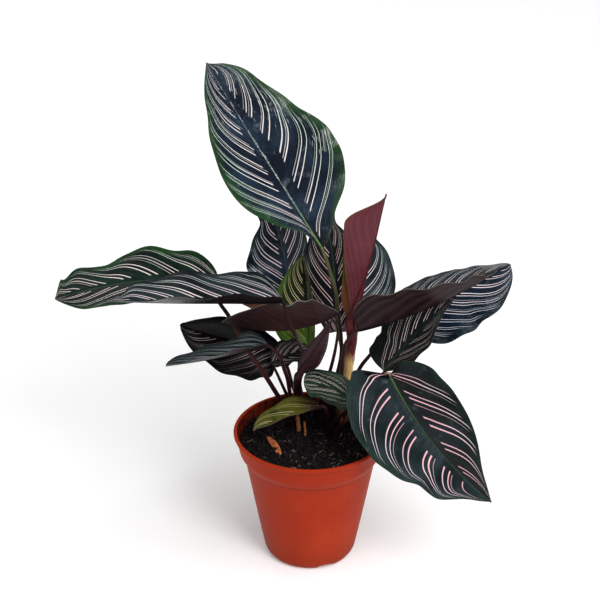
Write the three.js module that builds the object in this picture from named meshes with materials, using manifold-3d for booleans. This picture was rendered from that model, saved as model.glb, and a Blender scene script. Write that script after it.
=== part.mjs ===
// Pinstripe calathea growing in its plastic pot.
// Millimetres, +Z up. The origin is the middle of the pot's foot, on the ground.
// +X is to the right in the photo and +Y points away from the viewer.
import * as THREE from "three";
import { mergeVertices } from "three/addons/utils/BufferGeometryUtils.js";
import Module from "manifold-3d";

const wasm = await Module();
wasm.setup();

// Pot, a thin moulded shell turned about the upright axis
const POT_HEIGHT = 109;
const POT_RIM_RADIUS = 60;
const POT_BELOW_RIM_RADIUS = 57.3;
const POT_COLLAR_RADIUS = 56.4;
const POT_COLLAR_HEIGHT = 97;
const POT_SLOPE_RADIUS = 55.4;
const POT_SLOPE_TOP = 92.5;
const POT_BODY_RADIUS = 51.3;
const POT_BODY_TOP = 86;
const POT_FOOT_RADIUS = 37;
const POT_FOOT_TOP = 8;
const POT_FLAT_RADIUS = 30;
const POT_WALL = 1.6;
const POT_SIDES = 40;
const NOTCH_WIDTH = 17;
const NOTCH_HEIGHT = 4.6;
const NOTCH_COUNT = 4;
const NOTCH_FIRST_ANGLE = -69;
const NOTCH_INNER_RADIUS = 33;
const NOTCH_DEPTH = 10;
const NOTCH_BELOW_FOOT = 3;

// Soil that fills the pot to a little below its rim
const SOIL_TOP = 101.6;
const SOIL_RADIUS = 54.6;
const SOIL_FLOOR = 2.2;
const SOIL_BUMP = 1.3;
const SOIL_SIDES = 26;
const SOIL_RINGS = [12, 25, 37, 47];
const SOIL_GAP = 0.55;
const CRUMB_COUNT = 12;
const CRUMB_CLEAR = 6;
const CRUMB_FIELD = 50;
const CRUMB_SIZES = [1.6, 3];
const STEM_SOCKET = 0.4;
const ROOT_DEPTH = 10;
const ROOT_NECK = 2.5;

// Leaf blade and stalk
const BLADE_THICKNESS = 0.8;
const BLADE_END_HALF_WIDTH = 0.7;
const FLAT_END_WIDTH = 4;
const SWELL_END = 0.04;
const RIGHT_WAVE_SHIFT = 0.37;
const LOBE_LENGTH = 0.07;
const LARGEST_MITRE = 1.6;
const RIB_SINK = 0.15;
const RIB_TIP_RADIUS = 0.45;
const RIB_PLACES = [0.34, 0.14];
const STALK_SIDES = 5;
const STALK_RINGS_PER_SPAN = 1.35;

// Rows along a blade, and the places of its columns from the midrib (0) to the margin (1)
const LARGE = { rows: 22, columns: [0, 0.36, 0.7, 1] };
const MEDIUM = { rows: 15, columns: [0, 0.5, 1] };
const SMALL = { rows: 10, columns: [0, 0.5, 1] };

// What every leaf has unless its own entry says otherwise.
// base and tip are the ends of the midrib, arch and bend bow it along its upper side and sideways.
// up is the way the upper side faces before roll (degrees) turns it about the line base to tip.
// lift is the slope of each half at the base and at the tip, curl its extra bend out to the margin.
// wave is the height, the count and the phase of the waves along the margins.
// shape is the place of the widest row and how full the outline is before and after it.
// half scales the width of each half; lobes pushes the corners beside the stalk backwards.
// swells lists where a margin stands out or in: its half (-1 left, 1 right), the place along the
// midrib, and the height and the length of the swell.
const PLAIN = {
  up: [0, 0, 1],
  roll: 0,
  arch: [0, 0],
  bend: [0, 0],
  left: [10, 10, 0],
  right: [10, 10, 0],
  half: [1, 1],
  wave: [1, 3, 0.2],
  lobes: [0, 0],
  swells: [],
};
const TOWARDS_VIEWER = [0, -1, 0];

// The leaves, from the tallest down. stalk lists places from the blade to the soil,
// root is where the stalk enters the soil, and radius is its radius at the blade and at the soil.
const LEAVES = {
  leaf_top: {
    grid: LARGE,
    base: [9, 20, 255], tip: [-78, 75, 383], up: TOWARDS_VIEWER, roll: 24, width: 106,
    arch: [0, 4], bend: [0, -2], left: [20, 24, 10], right: [14, 20, -5], half: [0.8, 0.98],
    wave: [1.5, 5, 0.1], shape: [0.46, 1.5, 1], shapeRight: [0.38, 0.95, 1.2],
    swells: [[-1, 0.12, -4.5, 0.06], [-1, 0.42, 2, 0.15], [-1, 0.78, -2, 0.06],
      [1, 0.12, -4.5, 0.05], [1, 0.46, 1.5, 0.05], [1, 0.6, -2.5, 0.06], [1, 0.9, 8.5, 0.1]],
    stalk: [[13, 20, 242], [20, 24, 213], [21, 28, 186], [25, 32, 162], [25, 36, 133]],
    root: [17, 38], radius: [1.3, 2.2], colour: 0x2f4a4d,
  },
  leaf_back_left: {
    grid: MEDIUM,
    base: [-16, 74, 181], tip: [-38, 104, 266], up: TOWARDS_VIEWER, width: 47,
    arch: [4, 4], bend: [6, 8], left: [12, 12, 10], right: [12, 12, 10], half: [1.15, 0.95],
    wave: [1, 4, 0.2], shape: [0.32, 0.5, 0.8], shapeRight: [0.55, 1.5, 0.8],
    swells: [[-1, 0.4, 5, 0.12], [-1, 0.75, -6, 0.08]],
    stalk: [[-10, 70, 169], [-4, 66, 156], [0, 60, 145]],
    root: [-1, 48], radius: [1, 1.8], colour: 0x2c4340,
  },
  leaf_back_middle: {
    grid: MEDIUM,
    base: [22, 54, 167], tip: [8, 90, 261], up: TOWARDS_VIEWER, width: 54,
    arch: [4, 4], bend: [3, 8], left: [15, 10, 10], right: [15, 10, 10], half: [1, 0.8],
    wave: [1, 4, 0.2], shape: [0.38, 0.4, 1], lobes: [5, 5],
    swells: [[-1, 0.08, -5, 0.06], [1, 0.83, -2, 0.05], [1, 0.93, 4, 0.05]],
    stalk: [[21, 53, 157], [18, 51, 141]],
    root: [9, 47], radius: [1, 1.8], colour: 0x2c4340,
  },
  leaf_back_right: {
    grid: MEDIUM,
    base: [38, 66, 165], tip: [34, 104, 241], up: TOWARDS_VIEWER, width: 66,
    arch: [4, 4], left: [10, 10, 10], right: [10, 10, 10], half: [0.7, 1],
    wave: [1, 4, 0.2], shape: [0.4, 0.5, 1],
    swells: [[1, 0.2, -2.5, 0.08], [1, 0.72, 1.8, 0.12], [1, 0.88, 2, 0.05]],
    stalk: [[36, 64, 149], [32, 58, 128]],
    root: [16, 45.5], radius: [1, 1.8], colour: 0x2c4340,
  },
  leaf_red_upright: {
    grid: MEDIUM,
    base: [30, 10, 198], tip: [56, 20, 300], up: TOWARDS_VIEWER, roll: 180, width: 58,
    arch: [4, 4], bend: [-5, -2], left: [150, 160, 30], right: [-5, -5, 10],
    half: [0.78, 0.83], wave: [0.5, 3, 0.2], shape: [0.42, 0.8, 1.2],
    shapeRight: [0.72, 1.3, 2.4],
    swells: [[-1, 0.3, -4, 0.15], [1, 0.8, 2.5, 0.15]],
    stalk: [[32, 12, 183], [30, 15, 162], [29, 19, 142]],
    root: [22, 22], radius: [4.6, 2.6], colour: 0x7d3d42,
  },
  leaf_left_far: {
    grid: LARGE,
    base: [-71, 42, 216], tip: [-197, 30, 208], width: 78,
    arch: [12, 10], bend: [0, -2], left: [9, -8, 0], right: [20, 14, 0],
    wave: [1, 4, 0.2], shape: [0.4, 0.5, 0.8], shapeRight: [0.3, 0.5, 0.95],
    swells: [[-1, 0.64, -3.5, 0.06], [-1, 0.8, 4, 0.08], [1, 0.24, -6, 0.09], [1, 0.66, -6, 0.07],
      [1, 0.87, 13.5, 0.1], [1, 0.98, 14, 0.035]],
    stalk: [[-72, 34, 212], [-70, 26, 207], [-62, 18, 198], [-47, 13, 170], [-37, 12, 154],
      [-22, 26, 118]],
    root: [-14, 29], radius: [1.3, 2.2], colour: 0x36504a,
  },
  leaf_left_near: {
    grid: LARGE,
    base: [-21, -14, 228], tip: [-144, -34, 238], width: 80,
    arch: [-1.5, -1.5], left: [36, 29, 0], right: [5, 5, 0], half: [1, 1.1],
    wave: [1.8, 2.85, 0.34], shape: [0.4, 0.4, 0.6], shapeRight: [0.3, 0.45, 0.5],
    swells: [[1, 0.07, 11, 0.08], [1, 0.58, 3.5, 0.15], [1, 0.95, -7, 0.05]],
    stalk: [[-19, -19, 225], [-16, -21, 216], [-12, -16, 203], [-8, 6, 181], [-5, 11, 168],
      [-1, 19, 144]],
    root: [5, 32], radius: [1, 1.8], colour: 0x4a6059,
  },
  leaf_left_middle: {
    grid: LARGE,
    base: [21, 13, 205], tip: [-67, 1, 203], width: 70,
    arch: [-17, -13], left: [60, 60, 0], right: [35, 35, 0], half: [1, 0.45],
    wave: [2.6, 3, 0.42], shape: [0.45, 0.5, 0.65],
    swells: [[-1, 0.12, 12, 0.08], [-1, 0.4, 3, 0.15], [-1, 0.76, 9.5, 0.1]],
    stalk: [[22, 16, 197], [24, 20, 177], [23, 25, 153]],
    root: [12, 27], radius: [1.1, 1.9], colour: 0x4c3236,
  },
  leaf_left_dark: {
    grid: MEDIUM,
    base: [-27, 46, 156], tip: [-102, 40, 180], width: 58,
    arch: [-2, -2], left: [-32, -32, 0], right: [60, 60, 90], half: [1.12, 0.7],
    shape: [0.35, 0.5, 0.7],
    swells: [[-1, 0.05, 9, 0.06], [-1, 0.2, 2.5, 0.1], [1, 0.68, 6, 0.14]],
    lobes: [4, 8],
    stalk: [[-23, 46, 148], [-18, 45, 139], [-14, 43, 124]],
    root: [-8, 43], radius: [1.1, 1.8], colour: 0x2a2c33,
  },
  leaf_left_small: {
    grid: MEDIUM,
    base: [-32, -12, 190], tip: [-108, -30, 182], width: 40,
    arch: [-2, -2], left: [40, 32, 0], right: [4, 0, 0], half: [1, 1.06],
    shape: [0.35, 0.5, 0.4], shapeRight: [0.2, 0.4, 0.5],
    swells: [[1, 0.1, 7, 0.1]],
    stalk: [[-28, -11, 186], [-23, -8, 177], [-20, 0, 162], [-17, 9, 145]],
    root: [-13, 15], radius: [1.1, 1.9], colour: 0x3c5a52,
  },
  leaf_folded: {
    grid: SMALL,
    base: [-9, 3, 157], tip: [16, -16, 214], up: TOWARDS_VIEWER, roll: 180, width: 19,
    bend: [0, -2], left: [5, 5, 50], right: [5, 5, 50], half: [1.5, 0.6],
    wave: [0.5, 3, 0.2], shape: [0.15, 0.5, 1.8], shapeRight: [0.3, 0.5, 0.9],
    stalk: [[-10, 11, 142], [-9, 16, 126]],
    root: [-4, 20], radius: [3.4, 2.6], colour: 0x2d2a33,
  },
  leaf_front_small: {
    grid: MEDIUM,
    base: [33, -12, 142], tip: [-5, -16, 160], width: 44,
    arch: [4, 4], left: [-20, -20, 0], right: [25, 25, 0], half: [0.7, 0.8],
    wave: [0.6, 3, 0.2], shape: [0.4, 0.5, 0.35],
    swells: [[-1, 0.9, 2.5, 0.08], [-1, 0.25, 2.5, 0.12], [1, 0.1, 4, 0.06], [1, 0.58, -2, 0.1]],
    stalk: [[31, -6, 133]],
    root: [15, 9], radius: [1.2, 1.9], colour: 0x2f4442,
  },
  leaf_front_green: {
    grid: SMALL,
    base: [7, -6, 134], tip: [-44, -20, 120], width: 38,
    arch: [1, 1], left: [32, 32, 0], right: [28, 28, 0], half: [1, 0.78],
    wave: [1, 2, 0.2], shape: [0.4, 0.5, 0.7],
    stalk: [[11, 0, 128], [13, 6, 117]],
    root: [10, 18], radius: [1.4, 1.9], colour: 0x68703a,
  },
  leaf_front_right: {
    grid: LARGE,
    base: [59, -32, 176], tip: [134, -81, 95], roll: 62, width: 90,
    arch: [10, 8], bend: [7, 7], left: [16, 16, -10], right: [16, 16, -10],
    half: [0.845, 0.98], shape: [0.32, 0.5, 1], shapeRight: [0.2, 0.3, 1.05], lobes: [18, 34],
    swells: [[-1, 0.1, 4, 0.06], [-1, 0.82, -2.8, 0.12], [1, 0.03, -5, 0.03], [1, 0.38, 1.2, 0.06],
      [1, 0.62, -2.6, 0.05], [1, 0.76, 3.4, 0.06], [1, 0.88, -1.5, 0.06]],
    stalk: [[55, -22, 169], [46, -11, 149], [32, -3, 125]],
    root: [20, 3], radius: [1.6, 2.4], colour: 0x2b403e,
  },
  leaf_right_low: {
    grid: MEDIUM,
    base: [56, -5, 164], tip: [108, 9, 219], width: 64,
    arch: [2, 2], left: [25, 25, 0], right: [11, 9, 0], half: [0.92, 1], lobes: [4, 0],
    wave: [1, 4, 0.2], shape: [0.36, 0.35, 0.7], shapeRight: [0.45, 0.9, 0.8],
    swells: [[-1, 0.05, 3.5, 0.05], [-1, 0.24, -4, 0.05], [1, 0.38, 2, 0.12], [1, 0.8, -12, 0.12]],
    stalk: [[53, -2, 156], [43, 6, 134]],
    root: [30, 15], radius: [1.3, 2], colour: 0x35483f,
  },
  leaf_right_middle: {
    grid: LARGE,
    base: [35, 0, 197], tip: [139, 1, 246], width: 70,
    arch: [-9, -8], left: [78, 72, 0], right: [68, 55, 0], half: [0.4, 1],
    wave: [1.5, 4, 0.2], shape: [0.16, 0.25, 1.2],
    swells: [[1, 0.86, 5, 0.04], [1, 0.93, -2, 0.03]],
    stalk: [[32, 1, 192], [27, 4, 183], [25, 7, 169], [24, 10, 153]],
    root: [17, 16], radius: [1.2, 2], colour: 0x37292b,
  },
  leaf_right_far: {
    grid: LARGE,
    base: [66, 34, 189], tip: [155, 50, 228], width: 74,
    arch: [2, 2], left: [6, -18, 0], right: [-40, -40, -15],
    wave: [0.9, 4, 0.2], shape: [0.42, 0.5, 0.5],
    swells: [[-1, 0.15, 5, 0.06], [-1, 0.38, 4, 0.06], [-1, 0.62, 4, 0.05], [1, 0.2, 2, 0.1],
      [1, 0.6, -2, 0.06]],
    stalk: [[59, 39, 173], [49, 41, 155], [40, 42, 141], [34, 41, 125]],
    root: [26.5, 39.5], radius: [1.2, 2], colour: 0x33474d,
  },
  leaf_young: {
    grid: SMALL,
    base: [-1, 43, 156], tip: [-6, 49, 236], up: TOWARDS_VIEWER, width: 50,
    arch: [2, 2], bend: [2, 2], left: [10, 10, 10], right: [60, 60, 20], half: [1.15, 0.6],
    shape: [0.4, 0.45, 0.8],
    stalk: [[2, 43, 145], [3, 43, 131]],
    root: [4, 41], radius: [1, 1.7], colour: 0x6f8444,
  },
  leaf_inner_small: {
    grid: SMALL,
    base: [-30, 25, 154], tip: [0, 23, 166], width: 30,
    arch: [2, 2], left: [50, 50, 0], right: [-20, -20, 0], half: [0.9, 0.6],
    shape: [0.4, 0.5, 0.6],
    stalk: [[-26, 23, 146], [-20, 34, 124]],
    root: [-13, 38], radius: [1, 1.7], colour: 0x3a4a3e,
  },
  leaf_inner_brown: {
    grid: SMALL,
    base: [-16, 34, 182], tip: [-59, 27, 209], width: 26,
    left: [75, 75, 0], right: [60, 60, 0], half: [1, 0.4], shape: [0.4, 0.5, 0.6],
    stalk: [[-11, 37, 170], [-9, 37, 154], [-8, 37, 128]],
    root: [-3, 35], radius: [0.9, 1.6], colour: 0x7a5238,
  },
};

// Dried ends of old stalks that were cut above the soil
const STUBS = {
  dry_stub_left: { root: [-9, 10], top: [-10, 12, 115], radius: 1.7 },
  dry_stub_middle: { root: [-4, 4], top: [-4.5, 5, 113], radius: 1 },
  dry_stub_right: { root: [24.5, 15.5], top: [25, 17, 113], radius: 1.2 },
};
const STUB_TAPER = 0.85;
const STUB_SIDES = 6;

// A dry sheath chip that leans in the soil near the front rim
const CHIP_ENDS = [[-33, -5, 105], [-21.5, -29, 99]];
const CHIP_WIDTH = 5.5;
const CHIP_THICKNESS = 1.2;
const CHIP_ROWS = 6;
const CHIP_ARCH = 2.5;

const POT_COLOUR = 0xb44830;
const SOIL_COLOUR = 0x1d1a1c;
const STUB_COLOUR = 0x8a5a38;
const CHIP_COLOUR = 0x8c4b26;

// Turns numbered places into a mesh geometry.
function surface(points, faces) {
  const geometry = new THREE.BufferGeometry();
  geometry.setAttribute(
    "position",
    new THREE.Float32BufferAttribute(points.flatMap((p) => [p.x, p.y, p.z]), 3),
  );
  geometry.setIndex(faces.flat());
  return geometry;
}

// A closed geometry as a solid that can be joined and cut. Faces that have shrunk to a line are dropped.
function solid(geometry, matrix = new THREE.Matrix4()) {
  const bare = new THREE.BufferGeometry();
  const open = geometry.index ? geometry.toNonIndexed() : geometry;
  bare.setAttribute("position", open.getAttribute("position").clone());
  bare.applyMatrix4(matrix);
  const merged = mergeVertices(bare, 1e-3);
  const faces = [];
  for (let i = 0; i < merged.index.count; i += 3) {
    const [a, b, c] = [0, 1, 2].map((k) => merged.index.getX(i + k));
    if (a !== b && b !== c && c !== a) faces.push(a, b, c);
  }
  return new wasm.Manifold(
    new wasm.Mesh({
      numProp: 3,
      vertProperties: merged.getAttribute("position").array,
      triVerts: new Uint32Array(faces),
    }),
  );
}

// A solid back as a named mesh with its own plain material.
function meshOf(name, body, colour, roughness = 0.7) {
  const made = body.getMesh();
  const geometry = new THREE.BufferGeometry();
  geometry.setAttribute("position", new THREE.BufferAttribute(made.vertProperties, 3));
  geometry.setIndex(new THREE.BufferAttribute(made.triVerts, 1));
  geometry.computeVertexNormals();
  const material = new THREE.MeshStandardMaterial({ color: colour, roughness, metalness: 0 });
  const mesh = new THREE.Mesh(geometry, material);
  mesh.name = name;
  return mesh;
}

// A number between 0 and 1 that depends only on the seed and the order of the calls.
function seededNumbers(seed) {
  let state = seed;
  return () => {
    state = (state * 1664525 + 1013904223) % 4294967296;
    return state / 4294967296;
  };
}

const vector = (values) => new THREE.Vector3(...values);
const between = (a, b, t) => a + (b - a) * t;
const radians = THREE.MathUtils.degToRad;

// Pot

// The pot's inner wall from just under the rim down to the floor, as radius and height.
const POT_INSIDE = [
  [POT_BELOW_RIM_RADIUS - POT_WALL + 0.3, POT_HEIGHT - 3.5],
  [POT_COLLAR_RADIUS - POT_WALL, POT_COLLAR_HEIGHT + 0.2],
  [POT_SLOPE_RADIUS - POT_WALL, POT_SLOPE_TOP + 0.6],
  [POT_BODY_RADIUS - POT_WALL, POT_BODY_TOP + 0.6],
  [POT_FOOT_RADIUS - POT_WALL, POT_FOOT_TOP + 0.3],
  [POT_FOOT_RADIUS - 3.6, 3],
];

// The closed outline of the pot's wall: foot, outer side, the slope out to the collar, the collar
// and the rim, then back down inside.
function potOutline() {
  return [
    [0, 0],
    [POT_FLAT_RADIUS, 0],
    [POT_FOOT_RADIUS - 4.8, 0.8],
    [POT_FOOT_RADIUS - 2, 3.2],
    [POT_FOOT_RADIUS, POT_FOOT_TOP],
    [POT_BODY_RADIUS, POT_BODY_TOP],
    [POT_SLOPE_RADIUS, POT_SLOPE_TOP],
    [POT_COLLAR_RADIUS, POT_COLLAR_HEIGHT],
    [POT_BELOW_RIM_RADIUS, POT_HEIGHT - 4.4],
    [POT_RIM_RADIUS - 0.4, POT_HEIGHT - 3.2],
    [POT_RIM_RADIUS, POT_HEIGHT - 1.2],
    [POT_RIM_RADIUS - 1.5, POT_HEIGHT],
    [POT_RIM_RADIUS - 2.9, POT_HEIGHT - 0.7],
    ...POT_INSIDE,
    [POT_FLAT_RADIUS, POT_WALL],
    [0, POT_WALL],
  ].map(([radius, height]) => new THREE.Vector2(radius, height));
}

// The pot, with drain notches cut through the corner between its foot and its side.
function makePot() {
  const upright = new THREE.Matrix4().makeRotationX(Math.PI / 2);
  let body = solid(new THREE.LatheGeometry(potOutline(), POT_SIDES), upright);
  for (let i = 0; i < NOTCH_COUNT; i += 1) {
    const angle = radians(NOTCH_FIRST_ANGLE + (360 / NOTCH_COUNT) * i);
    const arch = new THREE.Shape();
    arch.moveTo(-NOTCH_WIDTH / 2, -NOTCH_BELOW_FOOT);
    arch.lineTo(-NOTCH_WIDTH / 2, NOTCH_HEIGHT * 0.4);
    arch.lineTo(-NOTCH_WIDTH * 0.36, NOTCH_HEIGHT * 0.85);
    arch.lineTo(-NOTCH_WIDTH * 0.2, NOTCH_HEIGHT);
    arch.lineTo(NOTCH_WIDTH * 0.2, NOTCH_HEIGHT);
    arch.lineTo(NOTCH_WIDTH * 0.36, NOTCH_HEIGHT * 0.85);
    arch.lineTo(NOTCH_WIDTH / 2, NOTCH_HEIGHT * 0.4);
    arch.lineTo(NOTCH_WIDTH / 2, -NOTCH_BELOW_FOOT);
    const cutter = new THREE.ExtrudeGeometry(arch, { depth: NOTCH_DEPTH, bevelEnabled: false });
    // The arch stands upright and is pushed out along the notch's own direction.
    const outward = new THREE.Vector3(Math.cos(angle), Math.sin(angle), 0);
    const sideways = new THREE.Vector3(-Math.sin(angle), Math.cos(angle), 0);
    const place = new THREE.Matrix4()
      .makeBasis(sideways, new THREE.Vector3(0, 0, 1), outward)
      .setPosition(outward.clone().multiplyScalar(NOTCH_INNER_RADIUS));
    body = body.subtract(solid(cutter, place));
  }
  return body;
}

// Stalks and other limbs

// A limb of round sections along a smooth curve through the points, closed at both ends.
// grow makes every section wider, which gives the socket that the limb stands in.
function makeLimb(points, radii, upward, sides = STALK_SIDES, grow = 0) {
  const curve = new THREE.CatmullRomCurve3(points, false, "catmullrom", 0.5);
  const spans = points.length - 1;
  const rings = Math.round(spans * STALK_RINGS_PER_SPAN);
  const places = [];
  const faces = [];
  let across = upward.clone();
  for (let i = 0; i <= rings; i += 1) {
    const t = i / rings;
    const along = curve.getTangent(t);
    across = across.clone().addScaledVector(along, -across.dot(along)).normalize();
    const other = new THREE.Vector3().crossVectors(along, across);
    const span = Math.min(Math.floor(t * spans), spans - 1);
    const radius = between(radii[span], radii[span + 1], t * spans - span) + grow;
    const middle = curve.getPoint(t);
    for (let k = 0; k < sides; k += 1) {
      const angle = (2 * Math.PI * k) / sides;
      places.push(
        middle
          .clone()
          .addScaledVector(across, radius * Math.cos(angle))
          .addScaledVector(other, radius * Math.sin(angle)),
      );
    }
  }
  for (let i = 0; i < rings; i += 1) {
    for (let k = 0; k < sides; k += 1) {
      const a = i * sides + k;
      const b = i * sides + ((k + 1) % sides);
      faces.push([a, b, b + sides], [a, b + sides, a + sides]);
    }
  }
  for (let k = 1; k < sides - 1; k += 1) {
    faces.push([0, k + 1, k]);
    faces.push([rings * sides, rings * sides + k, rings * sides + k + 1]);
  }
  return solid(surface(places, faces));
}

// Leaves

// The frame of a leaf: its chord, and the upper side and the side direction square to it.
function leafFrame(leaf) {
  const base = vector(leaf.base);
  const tip = vector(leaf.tip);
  const chord = tip.clone().sub(base);
  const length = chord.length();
  chord.normalize();
  const upper = vector(leaf.up);
  upper.addScaledVector(chord, -upper.dot(chord)).normalize();
  upper.applyAxisAngle(chord, radians(leaf.roll));
  const side = new THREE.Vector3().crossVectors(chord, upper);
  const bow = (part, k) =>
    base
      .clone()
      .addScaledVector(chord, length * part)
      .addScaledVector(upper, leaf.arch[k])
      .addScaledVector(side, leaf.bend[k]);
  const midrib = new THREE.CubicBezierCurve3(base, bow(1 / 3, 0), bow(2 / 3, 1), tip);
  return { midrib, upper };
}

// Half the width of the blade as a share of its greatest: rises to the widest place, then falls.
function outline(t, [widest, baseFill, tipFill]) {
  const rise = 1 - (1 - Math.min(t / widest, 1)) ** 2;
  const fall = 1 - (1 - Math.min((1 - t) / (1 - widest), 1)) ** 2;
  return t < widest ? rise ** baseFill : fall ** tipFill;
}

// How far the margin of one half stands out at t beyond its plain outline.
function swelling(leaf, t, half) {
  let sum = 0;
  for (const [where, place, height, length] of leaf.swells) {
    if (where === half) sum += height * Math.exp(-(((t - place) / length) ** 2));
  }
  return sum * Math.min(1, t / SWELL_END, (1 - t) / SWELL_END);
}

// The blade's middle surface at t along the midrib and u across it, from -1 (left) to 1 (right).
function bladePoint(leaf, frame, t, u) {
  const along = frame.midrib.getTangent(t);
  const side = new THREE.Vector3().crossVectors(along, frame.upper).normalize();
  const upper = new THREE.Vector3().crossVectors(side, along);
  const right = u > 0 ? 1 : 0;
  const v = Math.abs(u);
  const shape = right && leaf.shapeRight ? leaf.shapeRight : leaf.shape;
  const full = (leaf.width / 2) * leaf.half[right] * outline(t, shape);
  const half = Math.max(full + swelling(leaf, t, right ? 1 : -1), BLADE_END_HALF_WIDTH);
  const [liftBase, liftTip, bendOut] = right ? leaf.right : leaf.left;
  const calm = Math.min(1, half / FLAT_END_WIDTH);
  const lift = radians(between(liftBase, liftTip, t)) * calm;
  const curl = Math.abs(bendOut) < 0.1 ? 1e-3 : radians(bendOut);
  const out = (Math.sin(lift + curl * v) - Math.sin(lift)) / curl;
  const rise = (Math.cos(lift) - Math.cos(lift + curl * v)) / curl;
  const [height, count, phase] = leaf.wave;
  const turn = 2 * Math.PI * (count * t + phase + RIGHT_WAVE_SHIFT * right);
  const wave = height * v * v * Math.sin(turn) * Math.sqrt(Math.sin(Math.PI * t));
  const shoulder = Math.exp(-((t / LOBE_LENGTH) ** 2)) * Math.min(1, half / (leaf.width / 2));
  const back = leaf.lobes[right] * v ** 1.5 * shoulder;
  return frame.midrib
    .getPoint(t)
    .addScaledVector(side, half * out * Math.sign(u))
    .addScaledVector(upper, half * rise + wave)
    .addScaledVector(along, -back);
}

// The blade as a thin closed solid. Both faces are split into the same triangles.
function makeBlade(leaf, frame) {
  const { rows, columns } = leaf.grid;
  const across = [...columns.slice(1).map((v) => -v).reverse(), ...columns];
  const count = across.length;
  // Rows stand closer together near both ends, where the outline turns fastest.
  const rowAt = (i) => 0.55 * (i / rows) + 0.225 * (1 - Math.cos((Math.PI * i) / rows));
  const middle = [];
  for (let i = 0; i <= rows; i += 1) {
    for (const u of across) middle.push(bladePoint(leaf, frame, Math.min(rowAt(i), 1), u));
  }
  const cells = [];
  for (let i = 0; i < rows; i += 1) {
    for (let j = 0; j < count - 1; j += 1) {
      const [a, b] = [i * count + j, i * count + j + 1];
      const [c, d] = [a + count, b + count];
      // The diagonal mirrors at the midrib.
      if (across[j] < 0) cells.push([a, b, d], [a, d, c]);
      else cells.push([a, b, c], [b, d, c]);
    }
  }
  const normals = cells.map(([a, b, c]) =>
    new THREE.Vector3()
      .crossVectors(middle[b].clone().sub(middle[a]), middle[c].clone().sub(middle[a]))
      .normalize(),
  );
  const offsets = middle.map(() => new THREE.Vector3());
  const around = middle.map(() => []);
  cells.forEach((cell, k) =>
    cell.forEach((p) => {
      offsets[p].add(normals[k]);
      around[p].push(normals[k]);
    }),
  );
  // At a fold the offset grows, so that the blade keeps its thickness there.
  offsets.forEach((offset, p) => {
    offset.normalize();
    const flattest = Math.min(...around[p].map((n) => n.dot(offset)));
    const mitre = Math.min(LARGEST_MITRE, 1 / Math.max(flattest, 0.1));
    offset.multiplyScalar((BLADE_THICKNESS / 2) * mitre);
  });
  const top = middle.map((p, k) => p.clone().add(offsets[k]));
  const bottom = middle.map((p, k) => p.clone().sub(offsets[k]));
  const below = middle.length;
  const faces = [];
  for (const [a, b, c] of cells) {
    faces.push([a, b, c], [a + below, c + below, b + below]);
  }
  const edge = (a, b) => faces.push([b, a, a + below], [b, a + below, b + below]);
  for (let j = 0; j < count - 1; j += 1) {
    edge(j, j + 1);
    edge(rows * count + j + 1, rows * count + j);
  }
  for (let i = 0; i < rows; i += 1) {
    edge((i + 1) * count, i * count);
    edge((i + 1) * count - 1, (i + 2) * count - 1);
  }
  return solid(surface([...top, ...bottom], faces));
}

// The line of a leaf's midrib and stalk: under the blade, down the stalk and into the soil.
function stalkLine(leaf, frame) {
  const [blade, soil] = leaf.radius;
  const points = [];
  const radii = [];
  for (const t of [...RIB_PLACES, 0]) {
    const along = frame.midrib.getTangent(t);
    const side = new THREE.Vector3().crossVectors(along, frame.upper).normalize();
    const upper = new THREE.Vector3().crossVectors(side, along);
    const radius = between(blade, RIB_TIP_RADIUS, t / RIB_PLACES[0]);
    points.push(frame.midrib.getPoint(t).addScaledVector(upper, RIB_SINK - radius));
    radii.push(radius);
  }
  const rest = [
    ...leaf.stalk.map(vector),
    new THREE.Vector3(...leaf.root, SOIL_TOP + ROOT_NECK),
    new THREE.Vector3(...leaf.root, SOIL_TOP - ROOT_DEPTH),
  ];
  rest.forEach((p, k) => {
    points.push(p);
    radii.push(between(blade, soil, (k + 1) / rest.length));
  });
  return { points, radii };
}

function completeLeaf(entry) {
  const leaf = { ...PLAIN, ...entry };
  const frame = leafFrame(leaf);
  return { leaf, frame, line: stalkLine(leaf, frame) };
}

function makeLeaf({ leaf, frame, line }) {
  const stalk = makeLimb(line.points, line.radii, frame.upper);
  return makeBlade(leaf, frame).add(stalk);
}

// The stalk made wider and a little longer: what is cut out of the soil for it to stand in.
function stalkSocket({ frame, line }) {
  const points = [...line.points];
  points.push(points.pop().clone().add(new THREE.Vector3(0, 0, -STEM_SOCKET)));
  return makeLimb(points, line.radii, frame.upper, STALK_SIDES, STEM_SOCKET);
}

// Dry pieces

function stubLine(stub) {
  const [x, y] = stub.root;
  const points = [
    vector(stub.top),
    new THREE.Vector3(x, y, SOIL_TOP + ROOT_NECK),
    new THREE.Vector3(x, y, SOIL_TOP - ROOT_DEPTH),
  ];
  return { points, radii: [stub.radius * STUB_TAPER, stub.radius, stub.radius] };
}

const makeStub = ({ points, radii }, grow = 0) =>
  makeLimb(points, radii, new THREE.Vector3(1, 0, 0), STUB_SIDES, grow);

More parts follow.
